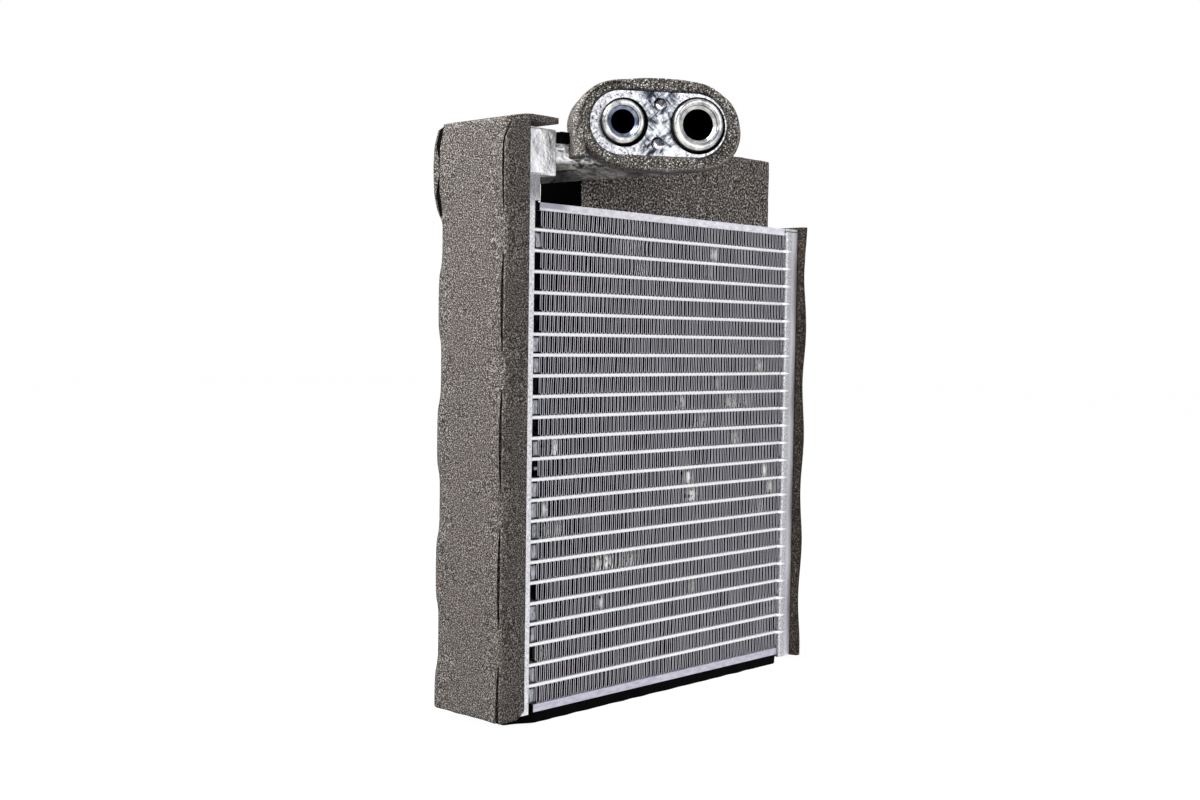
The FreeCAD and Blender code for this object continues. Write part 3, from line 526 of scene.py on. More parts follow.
def fin_ribbon(low, high, seed):
    """One folded fin. Its middle line is upright walls joined by half circles, closer at the top
    loops than at the bottom ones, and the foil lies half its thickness each side of it. Walls
    wander, lean and bow by ripples, and their front edges shift by the knocks and by a random step
    for each wall."""
    draw = np.random.default_rng(seed)
    wave = (high[0] - low[0] - FIN_SHEET) / (FIN_WAVES - 1 + TOP_LOOP)
    top_radius = wave * TOP_LOOP / 2
    low_radius = wave * (1 - TOP_LOOP) / 2
    half = (high[2] - low[2] - FIN_SHEET) / 2
    level = (low[2] + high[2]) / 2
    wall = np.linspace(low_radius - half, half - top_radius, 4)
    bend = np.radians([135.0, 90.0, 45.0])
    along = np.concatenate([0 * wall, top_radius * (1 + np.cos(bend)), 0 * wall + 2 * top_radius,
                            2 * top_radius + low_radius * (1 + np.cos(bend))])
    height = np.concatenate([wall, half - top_radius + top_radius * np.sin(bend), wall[::-1],
                             low_radius - half - low_radius * np.sin(bend)])
    number = np.concatenate([0 * wall, [0.25, 0.5, 0.75], 0 * wall + 1, [1.25, 1.5, 1.75]])
    turns = np.arange(FIN_WAVES)[:, None]
    x = (low[0] + FIN_SHEET / 2 + turns * wave + along).ravel()[:-3]
    z = np.tile(height, FIN_WAVES)[:-3]
    number = (number + 2 * turns).ravel()[:-3]

    def each_wall(amount):
        steps = draw.normal(0, amount, 2 * FIN_WAVES)
        steps[[0, -1]] = 0
        return np.interp(number, np.arange(2 * FIN_WAVES), steps)

    place = np.stack([x, 0 * x, 0 * x], axis=1)
    # Nothing moves at the ribbon's ends, and all of it moves from this far in
    free_from = 6.0
    ends = np.minimum(step_up(x, low[0], low[0] + free_from),
                      step_up(-x, -high[0], free_from - high[0]))
    leaning = ripple(place, 34.0, seed + 50) * 0.1 + 0.08
    bowing = ripple(place, 26.0, seed + 90) * 0.1 + each_wall(0.03)
    bent = np.zeros(len(x))
    for near, turned_over, bow in row_knocks(x, level):
        bent += near * turned_over
        bowing += near * bow
    x = x + ends * (0.4 * ripple(place, 22.0, seed) + each_wall(0.05) + leaning * z / half
                    + bowing * (1 - (z / half) ** 2))
    front = (0.08 + bent) * each_wall(1.0) * 0.6 + bent * 0.8
    front = front * ends * (1 - 0.75 * (z / half) ** 2)
    middle = np.stack([x, z], axis=1)
    ahead = np.gradient(middle, axis=0)
    normal = np.stack([-ahead[:, 1], ahead[:, 0]], axis=1)
    normal *= FIN_SHEET / 2 / np.linalg.norm(normal, axis=1)[:, None]
    depths = np.array([0.0, 0.14, 0.5, 1.3, 2.6, high[1] - low[1]]) + low[1]
    amounts = [1.0, 1.0, 0.8, 0.3, 0.0, 0.0]
    # The cut front edge carries a burr, so it is thicker than the foil
    burrs = [1.5, 1.0, 1.0, 1.0, 1.0, 1.0]
    strips = []
    for side, order in ((1, slice(None)), (-1, slice(None, None, -1))):
        for depth, amount, burr in list(zip(depths, amounts, burrs))[order]:
            strips.append(np.stack([x + side * burr * normal[:, 0] + front * amount,
                                    np.full(len(x), depth),
                                    z + side * normal[:, 1] + level], axis=1))
    return swept(np.stack(strips, axis=1))


def end_tab(low, level, half_height, width, seed):
    """A flattened fin leg: a strip of foil across the gap beside the header, facing forwards, bent
    by half a sine and turned a little."""
    draw = np.random.default_rng(seed)
    share = np.linspace(0, 1, 8)
    turn = math.radians(draw.uniform(-16, 8))
    x = low[0] + FIN_START - 0.2 - width * (1 - share)
    y = low[1] + 0.35 + np.sin(turn) * width * (1 - share) + draw.uniform(-0.3, 0.5) * np.sin(
        np.pi * share)
    loop = np.concatenate([np.stack([x, y], axis=1), np.stack([x, y + 0.2], axis=1)[::-1]])
    heights = np.linspace(-half_height, half_height, 7)
    sections = stacked(loop, heights + level)
    sections[:, :, 0] += heights[:, None] * draw.uniform(-0.08, 0.08)
    sections[:, :, 1] += 0.12 * ripple(sections, 6.0, seed)
    return swept(sections)


def mark_knocks(piece, level):
    """Each point's share of knocked edge, kept as an attribute for the fins' material to paint a
    highlight from: a bell along X about each knock of the row, fading out behind the front and
    towards the tubes."""
    points = np.empty(len(piece.data.vertices) * 3)
    piece.data.vertices.foreach_get("co", points)
    points = points.reshape(-1, 3) / MM
    share = np.zeros(len(points))
    for near, turned_over, _ in row_knocks(points[:, 0], level):
        share += near * turned_over
    tall = 1 - np.clip(np.abs(points[:, 2] - level) / (0.62 * ROW_PITCH), 0, 1) ** 2
    share = np.clip(share * 1.4, 0, 1) * tall * step_up(-points[:, 1], 14.3, 15.0)
    attribute = piece.data.attributes.new("knocked", "FLOAT", "POINT")
    attribute.data.foreach_set("value", share)


def make_fins(material, tab_material):
    """The folded fins, each with its flattened end where it has one."""
    rows = nodes_from("fin_row_")
    for seed, node in enumerate(rows):
        low, high = span(node)
        from_top = len(rows) - seed
        level = (low[2] + high[2]) / 2
        first = low[0] + FIN_START
        shells = [fin_ribbon(np.array([first, low[1], low[2]]), high, seed)]
        if from_top in FLAT_END_ROWS:
            shells.append(end_tab(low, level, half_height=3.25, width=3.2, seed=seed))
        if from_top == STUB_ROW:
            shells.append(end_tab(low, level + 0.4, half_height=0.7, width=2.6, seed=seed))
        piece = add_piece("folded_" + node, shells, material, replaced=[node])
        mark_knocks(piece, level)
        if len(shells) > 1:
            repaint(piece, tab_material, lambda middles, normals: middles[:, 0] < first - 0.1)


def make_tube_tips(material):
    """Braze metal that runs from each tube's front edge on to the return header as a point: its
    section is a flat ellipse that narrows along X by a square root."""
    header_low = span("return_header")[0]
    front = header_low[1]
    share = np.linspace(0, 1, 9)
    angle = np.linspace(0, 2 * np.pi, 12, endpoint=False)
    x = header_low[0] - 2.0 + 6.0 * share
    half_height = 0.78 * np.sqrt(1.02 - share ** 2)
    y = front + 1.3 - 1.5 * step_up(share, 0.0, 0.5)
    depth = 0.5
    shells = []
    for node in nodes_from("flat_tube_"):
        low, high = span(node)
        level = (low[2] + high[2]) / 2
        sections = np.stack([
            np.broadcast_to(x[:, None], (len(x), len(angle))),
            y[:, None] + depth * np.cos(angle)[None, :],
            level + half_height[:, None] * np.sin(angle)[None, :]], axis=2)
        shells.append(swept(sections))
    add_piece("tube_braze_tips", shells, material)


def make_corner_braze(material):
    """Braze metal in the corner between the top plate's end and the inlet header: a small rounded
    bar, painted near black as shade in that corner."""
    end = span("top_side_plate")[0]
    lump = soft_bar(np.array([end[0] - 3.6, end[1] + 0.6, end[2] + 0.2]),
                    np.array([end[0] + 0.1, end[1] + 9.0, end[2] + 4.3]),
                    radius=0.4, step=0.8, roughness=0.04, seed=41)
    add_piece("corner_braze", [lump], material)


# Foam

FOAM_WALL = 4.2
# How far the inlet wrap's flaps reach past its outer wall
FRONT_FLAP = 11.5
BACK_FLAP = 13.0
SLIT_PITCH = 61.3
SLIT_LENGTH = 44.4
SLIT_DEPTH = 3.4
# Height of the lowest slit's middle, and a height just under the top slit
LOWEST_SLIT = 8.75
TOP_SLIT = 226.0
# Stretch of the rear fold's section painted dark as shade, as the far side of its top slit
DARK_LIP = (-1.5, -1.05)
FOLD_RADIUS = 2.6
# The wrap's roof droops from this X to its outer side
ROOF_BEND = -101.0
ROOF_DROOP = 3.2
ROOF_RISE = 0.8


def slit_share(z):
    """1 at the middle of a slit's height, falling to 0 at its ends and between slits."""
    along = (z - LOWEST_SLIT) / SLIT_PITCH
    away =np.abs(along - np.round(along)) * SLIT_PITCH
    return np.sqrt(np.clip(1 - 2 * away / SLIT_LENGTH, 0, 1))


def from_fold(outline, corner):
    """Distance along an outline from the middle of the fold at a corner."""
    along = distance_along(outline)[0]
    middle =np.argmin(np.linalg.norm(outline - corner, axis=1))
    return along - along[middle]


def make_inlet_wrap(material, slit_shade_material):
    """Foam sheet round the inlet header: a U-shaped section carried up the header, its two folds
    cut by slits and bulging between them, with a lid over the top that runs out past the head. The
    slits' floors and the far side of the rear top slit are painted near black as shade."""
    low, high = span("inlet_foam_wrap")
    front_edge = low[0] + FOAM_WALL + FRONT_FLAP
    back_edge = low[0] + FOAM_WALL + BACK_FLAP
    inner = high[1] - FOAM_WALL + 0.1
    inner_x = low[0] + FOAM_WALL - 0.1
    outline = rounded_outline(
        [(front_edge, low[1]), (front_edge, -inner), (inner_x, -inner), (inner_x, inner),
         (back_edge, inner), (back_edge, high[1]), (low[0], high[1]), (low[0], low[1])],
        [1.2, 0.4, 0.4, 0.4, 0.4, 1.2, FOLD_RADIUS, FOLD_RADIUS], step=1.5, arc_points=27)
    heights = np.concatenate([
        low[2] + np.array([0.0, 0.25, 0.7]), np.arange(low[2] + 1.6, high[2] - 3.0, 1.2),
        high[2] - FOLD_RADIUS + FOLD_RADIUS * np.sin(np.linspace(0.1, 1.5, 7))])
    sections = stacked(outline, heights)
    on_flaps = np.abs(outline[:, 1]) > inner + 0.6
    is_outer = on_flaps | (outline[:, 0] < inner_x - 0.6)
    z = heights[:, None]
    lens = slit_share(z)
    wave = np.tanh(2.5 * np.cos(2 * np.pi * (z - LOWEST_SLIT) / SLIT_PITCH))
    top = step_up(z, TOP_SLIT, TOP_SLIT + 12.0)
    for side, corner in ((-1, (low[0], low[1])), (1, (low[0], high[1]))):
        along = from_fold(outline, np.array(corner)) * -side
        # Positive on the flap's side of the fold and negative on the header's side face
        near = np.exp(-(along / 7.0) ** 2) * is_outer
        push = ((0.55 + 0.15 * (side > 0)) * wave + 0.5 * top * lens) * near
        if side > 0:
            # The rear flap stands out past its slit up to the roof
            proud = step_up(z, 228.0, 236.0) * (1 - step_up(z, 273.0, 276.3))
            push = push + proud * (0.4 * near + 1.7 * np.exp(-(along / 8.0) ** 2) * is_outer
                                   * step_up(along, -1.5, -0.9))
        sections[:, :, 0] -= push * 0.9
        sections[:, :, 1] += push * 0.5 * side
        # The front slits lie on the side face, and the top one crosses to the flap under the roof.
        # The rear slits lie on the fold, and the top one on the side face
        aside = 0.7 if side < 0 else 1.45 * step_up(z, TOP_SLIT - 4.0, TOP_SLIT + 4.0)
        middle = 3.5 * (side < 0) * step_up(z, 260.0, 276.0) ** 2 - aside
        width = np.where(z > TOP_SLIT, 0.75, 1.3) * lens
        wall = 0.17
        groove = np.clip((width / 2 - np.abs(along - middle)) / wall + 0.5, 0, 1) * (lens > 0.05)
        if side > 0:
            in_slit = (lens > 0.1) & (z > TOP_SLIT)
            dark_line = (along > DARK_LIP[0]) & (along < DARK_LIP[1]) & in_slit
        lip = 0.45 * lens * np.exp(-((along - middle - width / 2 - 0.7) / 0.6) ** 2)
        depth = (groove * SLIT_DEPTH - lip) * is_outer * math.sqrt(0.5)
        sections[:, :, 0] += depth
        sections[:, :, 1] -= depth * side
    # The top edge is drawn in by a quarter circle, and the foot by a short parabola
    inset = FOLD_RADIUS * (1 - np.sqrt(1 - np.clip((z - high[2] + FOLD_RADIUS) / FOLD_RADIUS,
                                                   0, 1) ** 2))
    foot = 0.7
    inset = inset + foot * np.clip(1 - (z - low[2]) / foot, 0, 1) ** 2
    sections[:, :, 0] += inset * (outline[:, 0] < inner_x)
    sections[:, :, 1] -= inset * np.sign(outline[:, 1]) * on_flaps
    sections += ripple(sections, 13.0, 5)[..., None] * 0.1 * is_outer[None, :, None]
    # The front flap's free edge leans out towards the foot, where its corner is rounded
    free = step_up(outline[:, 0], front_edge - 6.0, front_edge) * (outline[:, 1] < 0)
    sections[:, :, 0] += 0.7 * (1 - z / high[2]) * free
    sections[:, :, 2] += 3.2 * free ** 2 * np.clip(1 - (z - low[2]) / 12.0, 0, 1)
    lid, lid_faces = soft_bar(np.array([low[0] + 1.6, low[1] + 0.5, high[2] - 2.9]),
                              np.array([high[0] + 1.5, high[1] - 0.5, high[2]]),
                              radius=0.5, step=1.5, roughness=0.1, seed=6)
    for points in (sections, lid):
        outer_end = np.clip((ROOF_BEND - points[..., 0]) / (ROOF_BEND - low[0]), 0, 1) ** 1.5
        points[..., 2] += (ROOF_RISE - ROOF_DROOP * outer_end) * step_up(
            points[..., 2], 255.0, high[2] - 1.0)
    wrap = add_piece("inlet_header_foam", [swept(sections), (lid, lid_faces)], material,
                     replaced=["inlet_foam_wrap"])
    # Painted shade: faces in and about the slits near the inner corners are near black.
    repaint(wrap, slit_shade_material, lambda middles, normals: (
        (middles[:, 0] < inner_x + 2.0) & (middles[:, 0] > low[0] + 2.6)
        & (np.abs(middles[:, 1]) < inner + 1.6) & (np.abs(middles[:, 1]) > inner - 2.5)))
    # The rear slit is seen across, so its far side is painted dark as shade as well
    far_side = first_faces(wrap, dark_line[:-1])
    repaint(wrap, slit_shade_material, lambda middles, normals: far_side)


def make_return_wrap(material, side_material, lit_edge_material):
    """Foam sheet along the return header: an L-shaped section carried up it, standing proud in
    front and folded behind, its outer face wavy. Its cut front and inner side are painted in shade,
    and its outer front edge is painted lit."""
    low, high = span("return_foam_wrap")
    inner_y = high[1] - FOAM_WALL + 0.1
    inner_x = high[0] - FOAM_WALL + 0.1
    outline = rounded_outline(
        [(inner_x, low[1]), (high[0], low[1]), (high[0], high[1]), (low[0], high[1]),
         (low[0], inner_y), (inner_x, inner_y)], [1.0, 1.4, 2.6, 1.0, 0.5, 0.5], 1.5)
    heights = np.concatenate([low[2] + np.array([0, 0.3, 0.9]),
                              np.arange(low[2] + 2, high[2] - 2, 1.5),
                              high[2] - np.array([0.9, 0.3, 0])])
    sections = stacked(outline, heights)
    share = step_up(outline[:, 0], inner_x + 0.5, high[0] - 0.5)
    z = heights[:, None]
    wave = 1.15 * np.cos(2 * np.pi * (z - 66.0) / 59.0) - 1.0 - 0.8 * step_up(z, 195.0, 225.0)
    sections[:, :, 0] += wave * share
    sections[:, :, 0] += 0.7 * np.cos(2 * np.pi * (z - 60.0) / 59.0) * step_up(
        -outline[:, 1], 17.5, 21.0) * (1 - share)
    sections += ripple(sections, 10.0, 8)[..., None] * 0.12
    wrap = add_piece("return_header_foam", [swept(sections)], material,
                     replaced=["return_foam_wrap"])
    # Painted shade: the faces turned to the front and inward, away from the outer edge.
    repaint(wrap, side_material, lambda middles, normals: (
        (normals[:, 1] < -0.3) | (normals[:, 0] < -0.3)) & (middles[:, 0] < high[0] - 1.6))
    # Painted light: the outer front edge is lit.
    outer_edge = (outline[:, 0] > high[0] - 2.2) & (outline[:, 1] < low[1] + 1.5)
    lit = first_faces(wrap, np.tile(outer_edge, len(heights) - 1))
    repaint(wrap, lit_edge_material, lambda middles, normals: lit)


def make_bars(pad_material, end_material, strip_material):
    """The pad on the core, its left end painted near black as shade, and the strip under the core.
    """
    low, high = span("top_foam_pad")
    bar = soft_bar(low, high, radius=0.9, step=1.6, roughness=0.15, seed=11)
    pad = add_piece("top_foam", [bar], pad_material, replaced=["top_foam_pad"])
    # Painted shade: the pad's left end face is near black.
    repaint(pad, end_material, lambda middles, normals: normals[:, 0] < -0.7)
    low, high = span("bottom_foam_strip")
    points, faces = soft_bar(low, high, radius=0.8, step=1.6, roughness=0.2, seed=12)
    # Its front corner is cut off slantwise, and its underside rests flat
    points[:, 0] += 5.0 * np.clip(1 - (points[:, 0] - low[0]) / 30.0, 0, 1)
    slant = np.clip(1 - (points[:, 0] - low[0] - 5.0) / 14.0, 0, 1)
    points[:, 1] += 7.0 * slant * np.clip((high[1] - points[:, 1]) / (high[1] - low[1]), 0, 1)
    points[:, 2] = np.maximum(points[:, 2], 0.05)
    add_piece("bottom_foam", [(points, faces)], strip_material,
              replaced=["bottom_foam_strip"])


# Connector block, in a frame of its own: x to the right, depth behind its face, z up

BLOCK_FACE = np.array([-48.2, -49.5, 276.2])
BLOCK_TURN = math.radians(34.5)
HALF_SPACING = 17.7
BLOCK_RIGHT = np.array([math.cos(BLOCK_TURN), -math.sin(BLOCK_TURN), 0.0])
BLOCK_DEPTH = np.array([math.sin(BLOCK_TURN), math.cos(BLOCK_TURN), 0.0])
UPWARDS = np.array([0.0, 0.0, 1.0])
BLOCK_THICKNESS = 12.0
LIQUID_SEAT, LIQUID_BORE = 9.9, 5.5
VAPOUR_SEAT, VAPOUR_BORE = 11.85, 7.15
# The spot faces lie off centre from their seats, by these steps to the right, and are this deep
LIQUID_SPOT, LIQUID_SPOT_STEP = 10.7, 1.4
VAPOUR_SPOT, VAPOUR_SPOT_STEP = 12.6, 0.9
SPOT_DEPTH = 2.2
BOLT_RADIUS = 2.65
BOLT_HOLES = ((0.53, 8.98), (-0.53, -8.98))


def from_block(points):
    """Points of the block's frame (x, depth, z) in the part's frame."""
    return BLOCK_FACE + points[..., :1] * BLOCK_RIGHT + points[..., 1:2] * BLOCK_DEPTH + (
        points[..., 2:] * UPWARDS)


def turned(profile, centre, segments=96):
    """A closed profile of (radius, depth) pairs turned about the port's axis."""
    profile = np.asarray(profile, dtype=float)
    angle = np.linspace(0, 2 * np.pi, segments, endpoint=False)
    radius = profile[None, :, 0]
    sections = np.stack([centre + radius * np.cos(angle)[:, None],
                         np.broadcast_to(profile[None, :, 1], (segments, len(profile))),
                         radius * np.sin(angle)[:, None]], axis=2)
    return swept(from_block(sections), closed=True)


def seat_profile(seat, bore):
    """Section of a raised seat: bore, sunk ring, rounded rim, outer wall, and the floor of the spot
    face at its foot, which runs on under the plate."""
    ring = bore + 1.7
    floor = seat + 2.6
    return [(bore, BLOCK_THICKNESS), (bore, -2.9), (bore + 0.1, -3.1), (ring - 0.15, -3.3),
            (ring, -3.5), (ring + 0.05, -4.3), (ring + 0.25, -4.5), (seat - 1.0, -4.5),
            (seat - 0.75, -4.42), (seat - 0.12, -3.8), (seat, -3.5), (seat, SPOT_DEPTH),
            (floor, SPOT_DEPTH), (floor, SPOT_DEPTH + 1.4), (bore + 0.5, BLOCK_THICKNESS)]


def make_plate(material):
    """The block's plate: a stadium outline with round holes, filled and drawn out with a small
    round on every edge."""
    curve = bpy.data.curves.new("plate_outline", "CURVE")
    curve.dimensions = "2D"
    curve.fill_mode = "BOTH"
    edge_round = 0.3
    half_thickness = BLOCK_THICKNESS / 2
    curve.extrude = (half_thickness - edge_round) * MM
    curve.bevel_depth = edge_round * MM
    curve.bevel_resolution = 3
    curve.offset = -edge_round * MM

    def outline(points):
        spline = curve.splines.new("POLY")
        spline.points.add(len(points) - 1)
        flat = np.zeros((len(points), 4))
        flat[:, :2] = points * MM
        flat[:, 3] = 1
        spline.points.foreach_set("co", flat.ravel())
        spline.use_cyclic_u = True

    def circle(x, y, radius, segments=72):
        angle = np.linspace(0, 2 * np.pi, segments, endpoint=False)
        return np.stack([x + radius * np.cos(angle), y + radius * np.sin(angle)], axis=1)

    plate_radius = 14.8
    half_turn = np.linspace(-np.pi / 2, np.pi / 2, 40)
    right = np.stack([HALF_SPACING + plate_radius * np.cos(half_turn),
                      plate_radius * np.sin(half_turn)], axis=1)
    outline(np.concatenate([right, -right]))
    outline(circle(LIQUID_SPOT_STEP - HALF_SPACING, 0.1, LIQUID_SPOT + edge_round))
    outline(circle(HALF_SPACING + VAPOUR_SPOT_STEP, 0, VAPOUR_SPOT + edge_round))
    for x, z in BOLT_HOLES:
        outline(circle(x, z, BOLT_RADIUS + edge_round, 48))
    shape = add_object("plate_shape", curve)
    bpy.context.view_layer.update()
    mesh = bpy.data.meshes.new_from_object(
        shape.evaluated_get(bpy.context.evaluated_depsgraph_get()))
    bpy.data.objects.remove(shape)
    points = np.empty(len(mesh.vertices) * 3)
    mesh.vertices.foreach_get("co", points)
    points = points.reshape(-1, 3) / MM
    placed = from_block(np.stack([points[:, 0], half_thickness - points[:, 2], points[:, 1]],
                                 axis=1))
    mesh.vertices.foreach_set("co", (placed * MM).ravel())
    mesh.materials.clear()
    mesh.materials.append(material)
    plate = add_object("block_plate", mesh)
    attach(plate, "root")
    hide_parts("connector_block")


def make_seats(material, ring_material, bore_material, floor_material):
    """The two ports' raised seats, with painted shade: near-black bores and the discs that close
    them, dark spot faces, and a dark blue sunk ring on the liquid seat.
    """
    for name, seat, bore, centre in (("liquid_seat", LIQUID_SEAT, LIQUID_BORE, -HALF_SPACING),
                                     ("vapour_seat", VAPOUR_SEAT, VAPOUR_BORE, HALF_SPACING)):
        # Each bore is closed deep inside by a disc, painted near black with the bore as shade.
        plug = turned([(0.0, 9.0), (bore - 0.05, 9.0), (bore - 0.05, 9.6), (0.0, 9.6)], centre)
        piece = add_piece(name, [turned(seat_profile(seat, bore), centre), plug], material,
                          replaced=["connector_block"])
        axis = from_block(np.array([centre, 0.0, 0.0]))

        def distance(middles):
            away = middles - axis
            away = away - (away @ BLOCK_DEPTH)[:, None] * BLOCK_DEPTH
            return np.linalg.norm(away, axis=1)

        # Painted shade: the liquid seat's sunk ring is dark blue.
        if name == "liquid_seat":
            repaint(piece, ring_material, lambda middles, normals: (
                distance(middles) < bore + 1.75))
        repaint(piece, bore_material, lambda middles, normals: distance(middles) < bore + 0.02)
        # Painted shade: the spot faces are near black, so the seats seem to cast shadows on the
        # plate.
        repaint(piece, floor_material, lambda middles, normals: (
            (distance(middles) > seat - 0.02) & ((middles - axis) @ BLOCK_DEPTH > -0.8)))


def make_bolt_floors(material):
    """What shows in each bolt hole: a flat pale floor 1 mm down, a little off centre, so that the
    hole's wall is a dark crescent above it on the left."""
    shells = []
    for x, z in BOLT_HOLES:
        shell, faces = turned([(0.0, 0.9), (BOLT_RADIUS - 0.1, 0.9), (BOLT_RADIUS - 0.1, 1.6),
                               (0.0, 1.6)], x + 0.5, segments=40)
        shells.append((shell + (z - 0.35) * UPWARDS, faces))
    add_piece("bolt_hole_floors", shells, material,
              replaced=["connector_block"])


def stadium_path(radius, step):
    """Points and outward directions along a stadium round both ports."""
    quarter = np.pi / 2
    angle = np.linspace(-quarter, quarter, int(np.pi * radius / step), endpoint=False)
    run = np.linspace(-HALF_SPACING, HALF_SPACING, int(2 * HALF_SPACING / step), endpoint=False)
    arc = np.stack([np.cos(angle), np.sin(angle)], axis=1)
    right = np.array([HALF_SPACING, 0]) + 0 * arc
    top = np.stack([-run, 0 * run], axis=1)
    upward = np.broadcast_to([0.0, 1.0], top.shape)
    return (np.concatenate([right, top, -right, -top]),
            np.concatenate([arc, upward, -arc, -upward]))


def strip_section(inner, outer, front, back, radius):
    """Outline of the strip's section as (distance out, depth) pairs."""
    return rounded_outline([(inner, front), (outer, front), (outer, back), (inner, back)],
                           [radius] * 4, step=1.2)


# Where the wound strip stands out or in on its outer side: the place along its path, counted from
# the lowest point of the right round, the width of the swell and its height
RING_SWELLS = np.array([[0.0, 7.0, -0.6], [17.5, 9.0, 1.5], [48.0, 12.0, -1.9],
                        [94.0, 10.0, -1.6], [137.5, 12.0, -1.9], [170.0, 12.0, 0.8]])


def with_depth(flat, depth):
    """Sections in the block's frame from places on its face, (stations, points, 2), and the depth
    of each point of a section."""
    return np.stack([flat[..., 0], np.broadcast_to(depth, flat.shape[:2]), flat[..., 1]], axis=2)


def make_ring(material, lap_material, skin_material, lit_edge_material, tail_material):
    """Foam strip wound round the block: a rounded section carried round a stadium, its outer side
    pushed by bells along the path, with its end lapped over the left side and a tail behind it on
    the duct. Its front is a cut edge and its outside has the sheet's skin. The lap is painted in a
    lighter copy of the cut foam as painted light, and the lower outer rim of the right round is
    painted lit."""
    path_radius = 18.0
    centres, outward = stadium_path(path_radius, step=0.9)
    inside = 14.9
    outside = 21.0
    section = strip_section(inside, outside, front=-1.0, back=11.7, radius=1.3)
    route = centres + outward * path_radius
    place, whole = distance_along(route)
    away = place[:, None] - RING_SWELLS[None, :, 0]
    away -= whole * np.round(away / whole)
    swell =(RING_SWELLS[:, 2] * np.exp(-(away / RING_SWELLS[:, 1]) ** 2)).sum(axis=1)
    outer_share = (section[:, 0] - inside) / (outside - inside)
    reach = section[:, 0] + swell[:, None] * outer_share
    sections = with_depth(centres[:, None] + outward[:, None] * reach[..., None], section[:, 1])
    sections += ripple(sections, 8.0, 21)[..., None] * 0.15
    ring = swept(from_block(sections), closed=True)

    # The lap leaves the round at the left and from there hangs straight down to its end
    leaving = 0.68
    share = np.linspace(0, 1, 90)
    turn = np.clip(share / leaving, 0, 1)
    hang = np.clip((share - leaving) / (1 - leaving), 0, 1)
    angle = np.radians(80 + 100 * turn)
    radius = 19.5 + 1.3 * step_up(angle, math.radians(125), math.radians(178))
    outer = np.array([-HALF_SPACING - 2.3, -1.4]) + radius[:, None] * np.stack(
        [np.cos(angle), np.sin(angle)], axis=1)
    outer += hang[:, None] * [1.4, -14.8]
    angle = np.radians(80 + 107 * turn)
    inner = np.array([-HALF_SPACING, 0.0]) + 18.6 * np.stack([np.cos(angle), np.sin(angle)], axis=1)
    inner += hang[:, None] * [2.6, -13.9]
    away = outer - inner
    away /= np.linalg.norm(away, axis=1)[:, None]
    front = -1.6
    section = strip_section(0.0, 1.0, front, back=11.6, radius=0.0)
    across = section[None, :, :1]
    flat = inner[:, None] * (1 - across) + outer[:, None] * across
    # Its front edges are rounded: both sides are pulled in towards each other there
    rounding = np.clip((section[:, 1] - front) / 1.2, 0, 1)
    pull = (1 - np.sqrt(1 - (1 - rounding) ** 2)) * 1.1
    flat = flat - away[:, None] * (pull * (section[:, 0] * 2 - 1))[None, :, None]
    sections = with_depth(flat, section[:, 1])
    sections += ripple(sections, 8.0, 22)[..., None] * 0.12
    lap = swept(from_block(sections))
    ring_piece = add_piece("block_foam", [ring, lap], material,
                           replaced=["block_foam_ring"])
    tail = soft_bar(np.array([-82.6, -21.0, 266.6]), np.array([-66.0, -15.5, 271.6]),
                    radius=0.8, step=1.2, roughness=0.1, seed=23)
    add_piece("duct_foam", [tail], tail_material, replaced=["block_foam_ring"])
    # Painted light: the lap in a lighter copy of the cut foam.
    repaint(ring_piece, lap_material, lambda middles, normals: (
        np.arange(len(middles)) >= len(ring[1][0])))
    repaint(ring_piece, skin_material, lambda middles, normals: np.abs(normals @ BLOCK_DEPTH) < 0.5)

    def on_round_edge(middles, normals):
        """Faces turned forwards on the outer rim of the right round's lower half."""
        offset = middles - BLOCK_FACE
        x = offset @ BLOCK_RIGHT
        beyond = np.hypot(np.maximum(x - HALF_SPACING, 0), offset[:, 2])
        return (beyond > 19.9) & (offset[:, 2] < -4.0) & (x > -4.0) & (normals @ BLOCK_DEPTH < -0.2)

    # Painted light: the forward faces of the right round's lower outer rim are lit.
    repaint(ring_piece, lit_edge_material, on_round_edge)


# Sheet parts

def bracket_bulge(x, z):
    """Height of the pressed bulge on the bracket's face: 0.7 mm left of a curved edge, and none
    right of it."""
    edge = -89.4 + 2.4 * np.clip(1 - ((z - 262.0) / 9.0) ** 2, 0, 1)
    return 0.7 * (1 - step_up(x, edge - 0.5, edge + 0.5))


def make_bracket_face(material):
    """Pressed face sheet over the bracket and the front of the header's head: a grid in X and Z
    whose height is the bulge, with its back flat."""
    low, high = span("duct_bracket")
    front = low[1] - 0.25
    flap_edge = span("inlet_foam_wrap")[0][0] + FOAM_WALL + FRONT_FLAP
    x = np.linspace(flap_edge - 1.0, high[0], 70)
    z = np.linspace(low[2] + 0.2, high[2] - 0.3, 60)
    grid_x, grid_z = np.meshgrid(x, z, indexing="ij")
    height = bracket_bulge(grid_x, grid_z)
    rim = np.minimum(step_up(grid_z, z[0], z[0] + 0.5), step_up(-grid_z, -z[-1], 0.5 - z[-1]))
    rim = np.minimum(rim, step_up(-grid_x, -x[-1], 0.5 - x[-1]))
    y = front - height * rim + 0.5 * (1 - rim) ** 2
    y += 0.05 * ripple(np.stack([grid_x, 0 * grid_x, grid_z], axis=2), 7.0, 31)
    face = np.stack([grid_x, y, grid_z], axis=2)
    back = np.stack([grid_x, np.full_like(y, front + 0.9), grid_z], axis=2)[:, ::-1]
    add_piece("bracket_face", [swept(np.concatenate([face, back], axis=1))], material)


# Materials of the CAD nodes

def dress(names, material):
    """One material on each of the named nodes."""
    for name in names:
        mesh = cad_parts[name].data
        mesh.materials.clear()
        mesh.materials.append(material)


# Studio

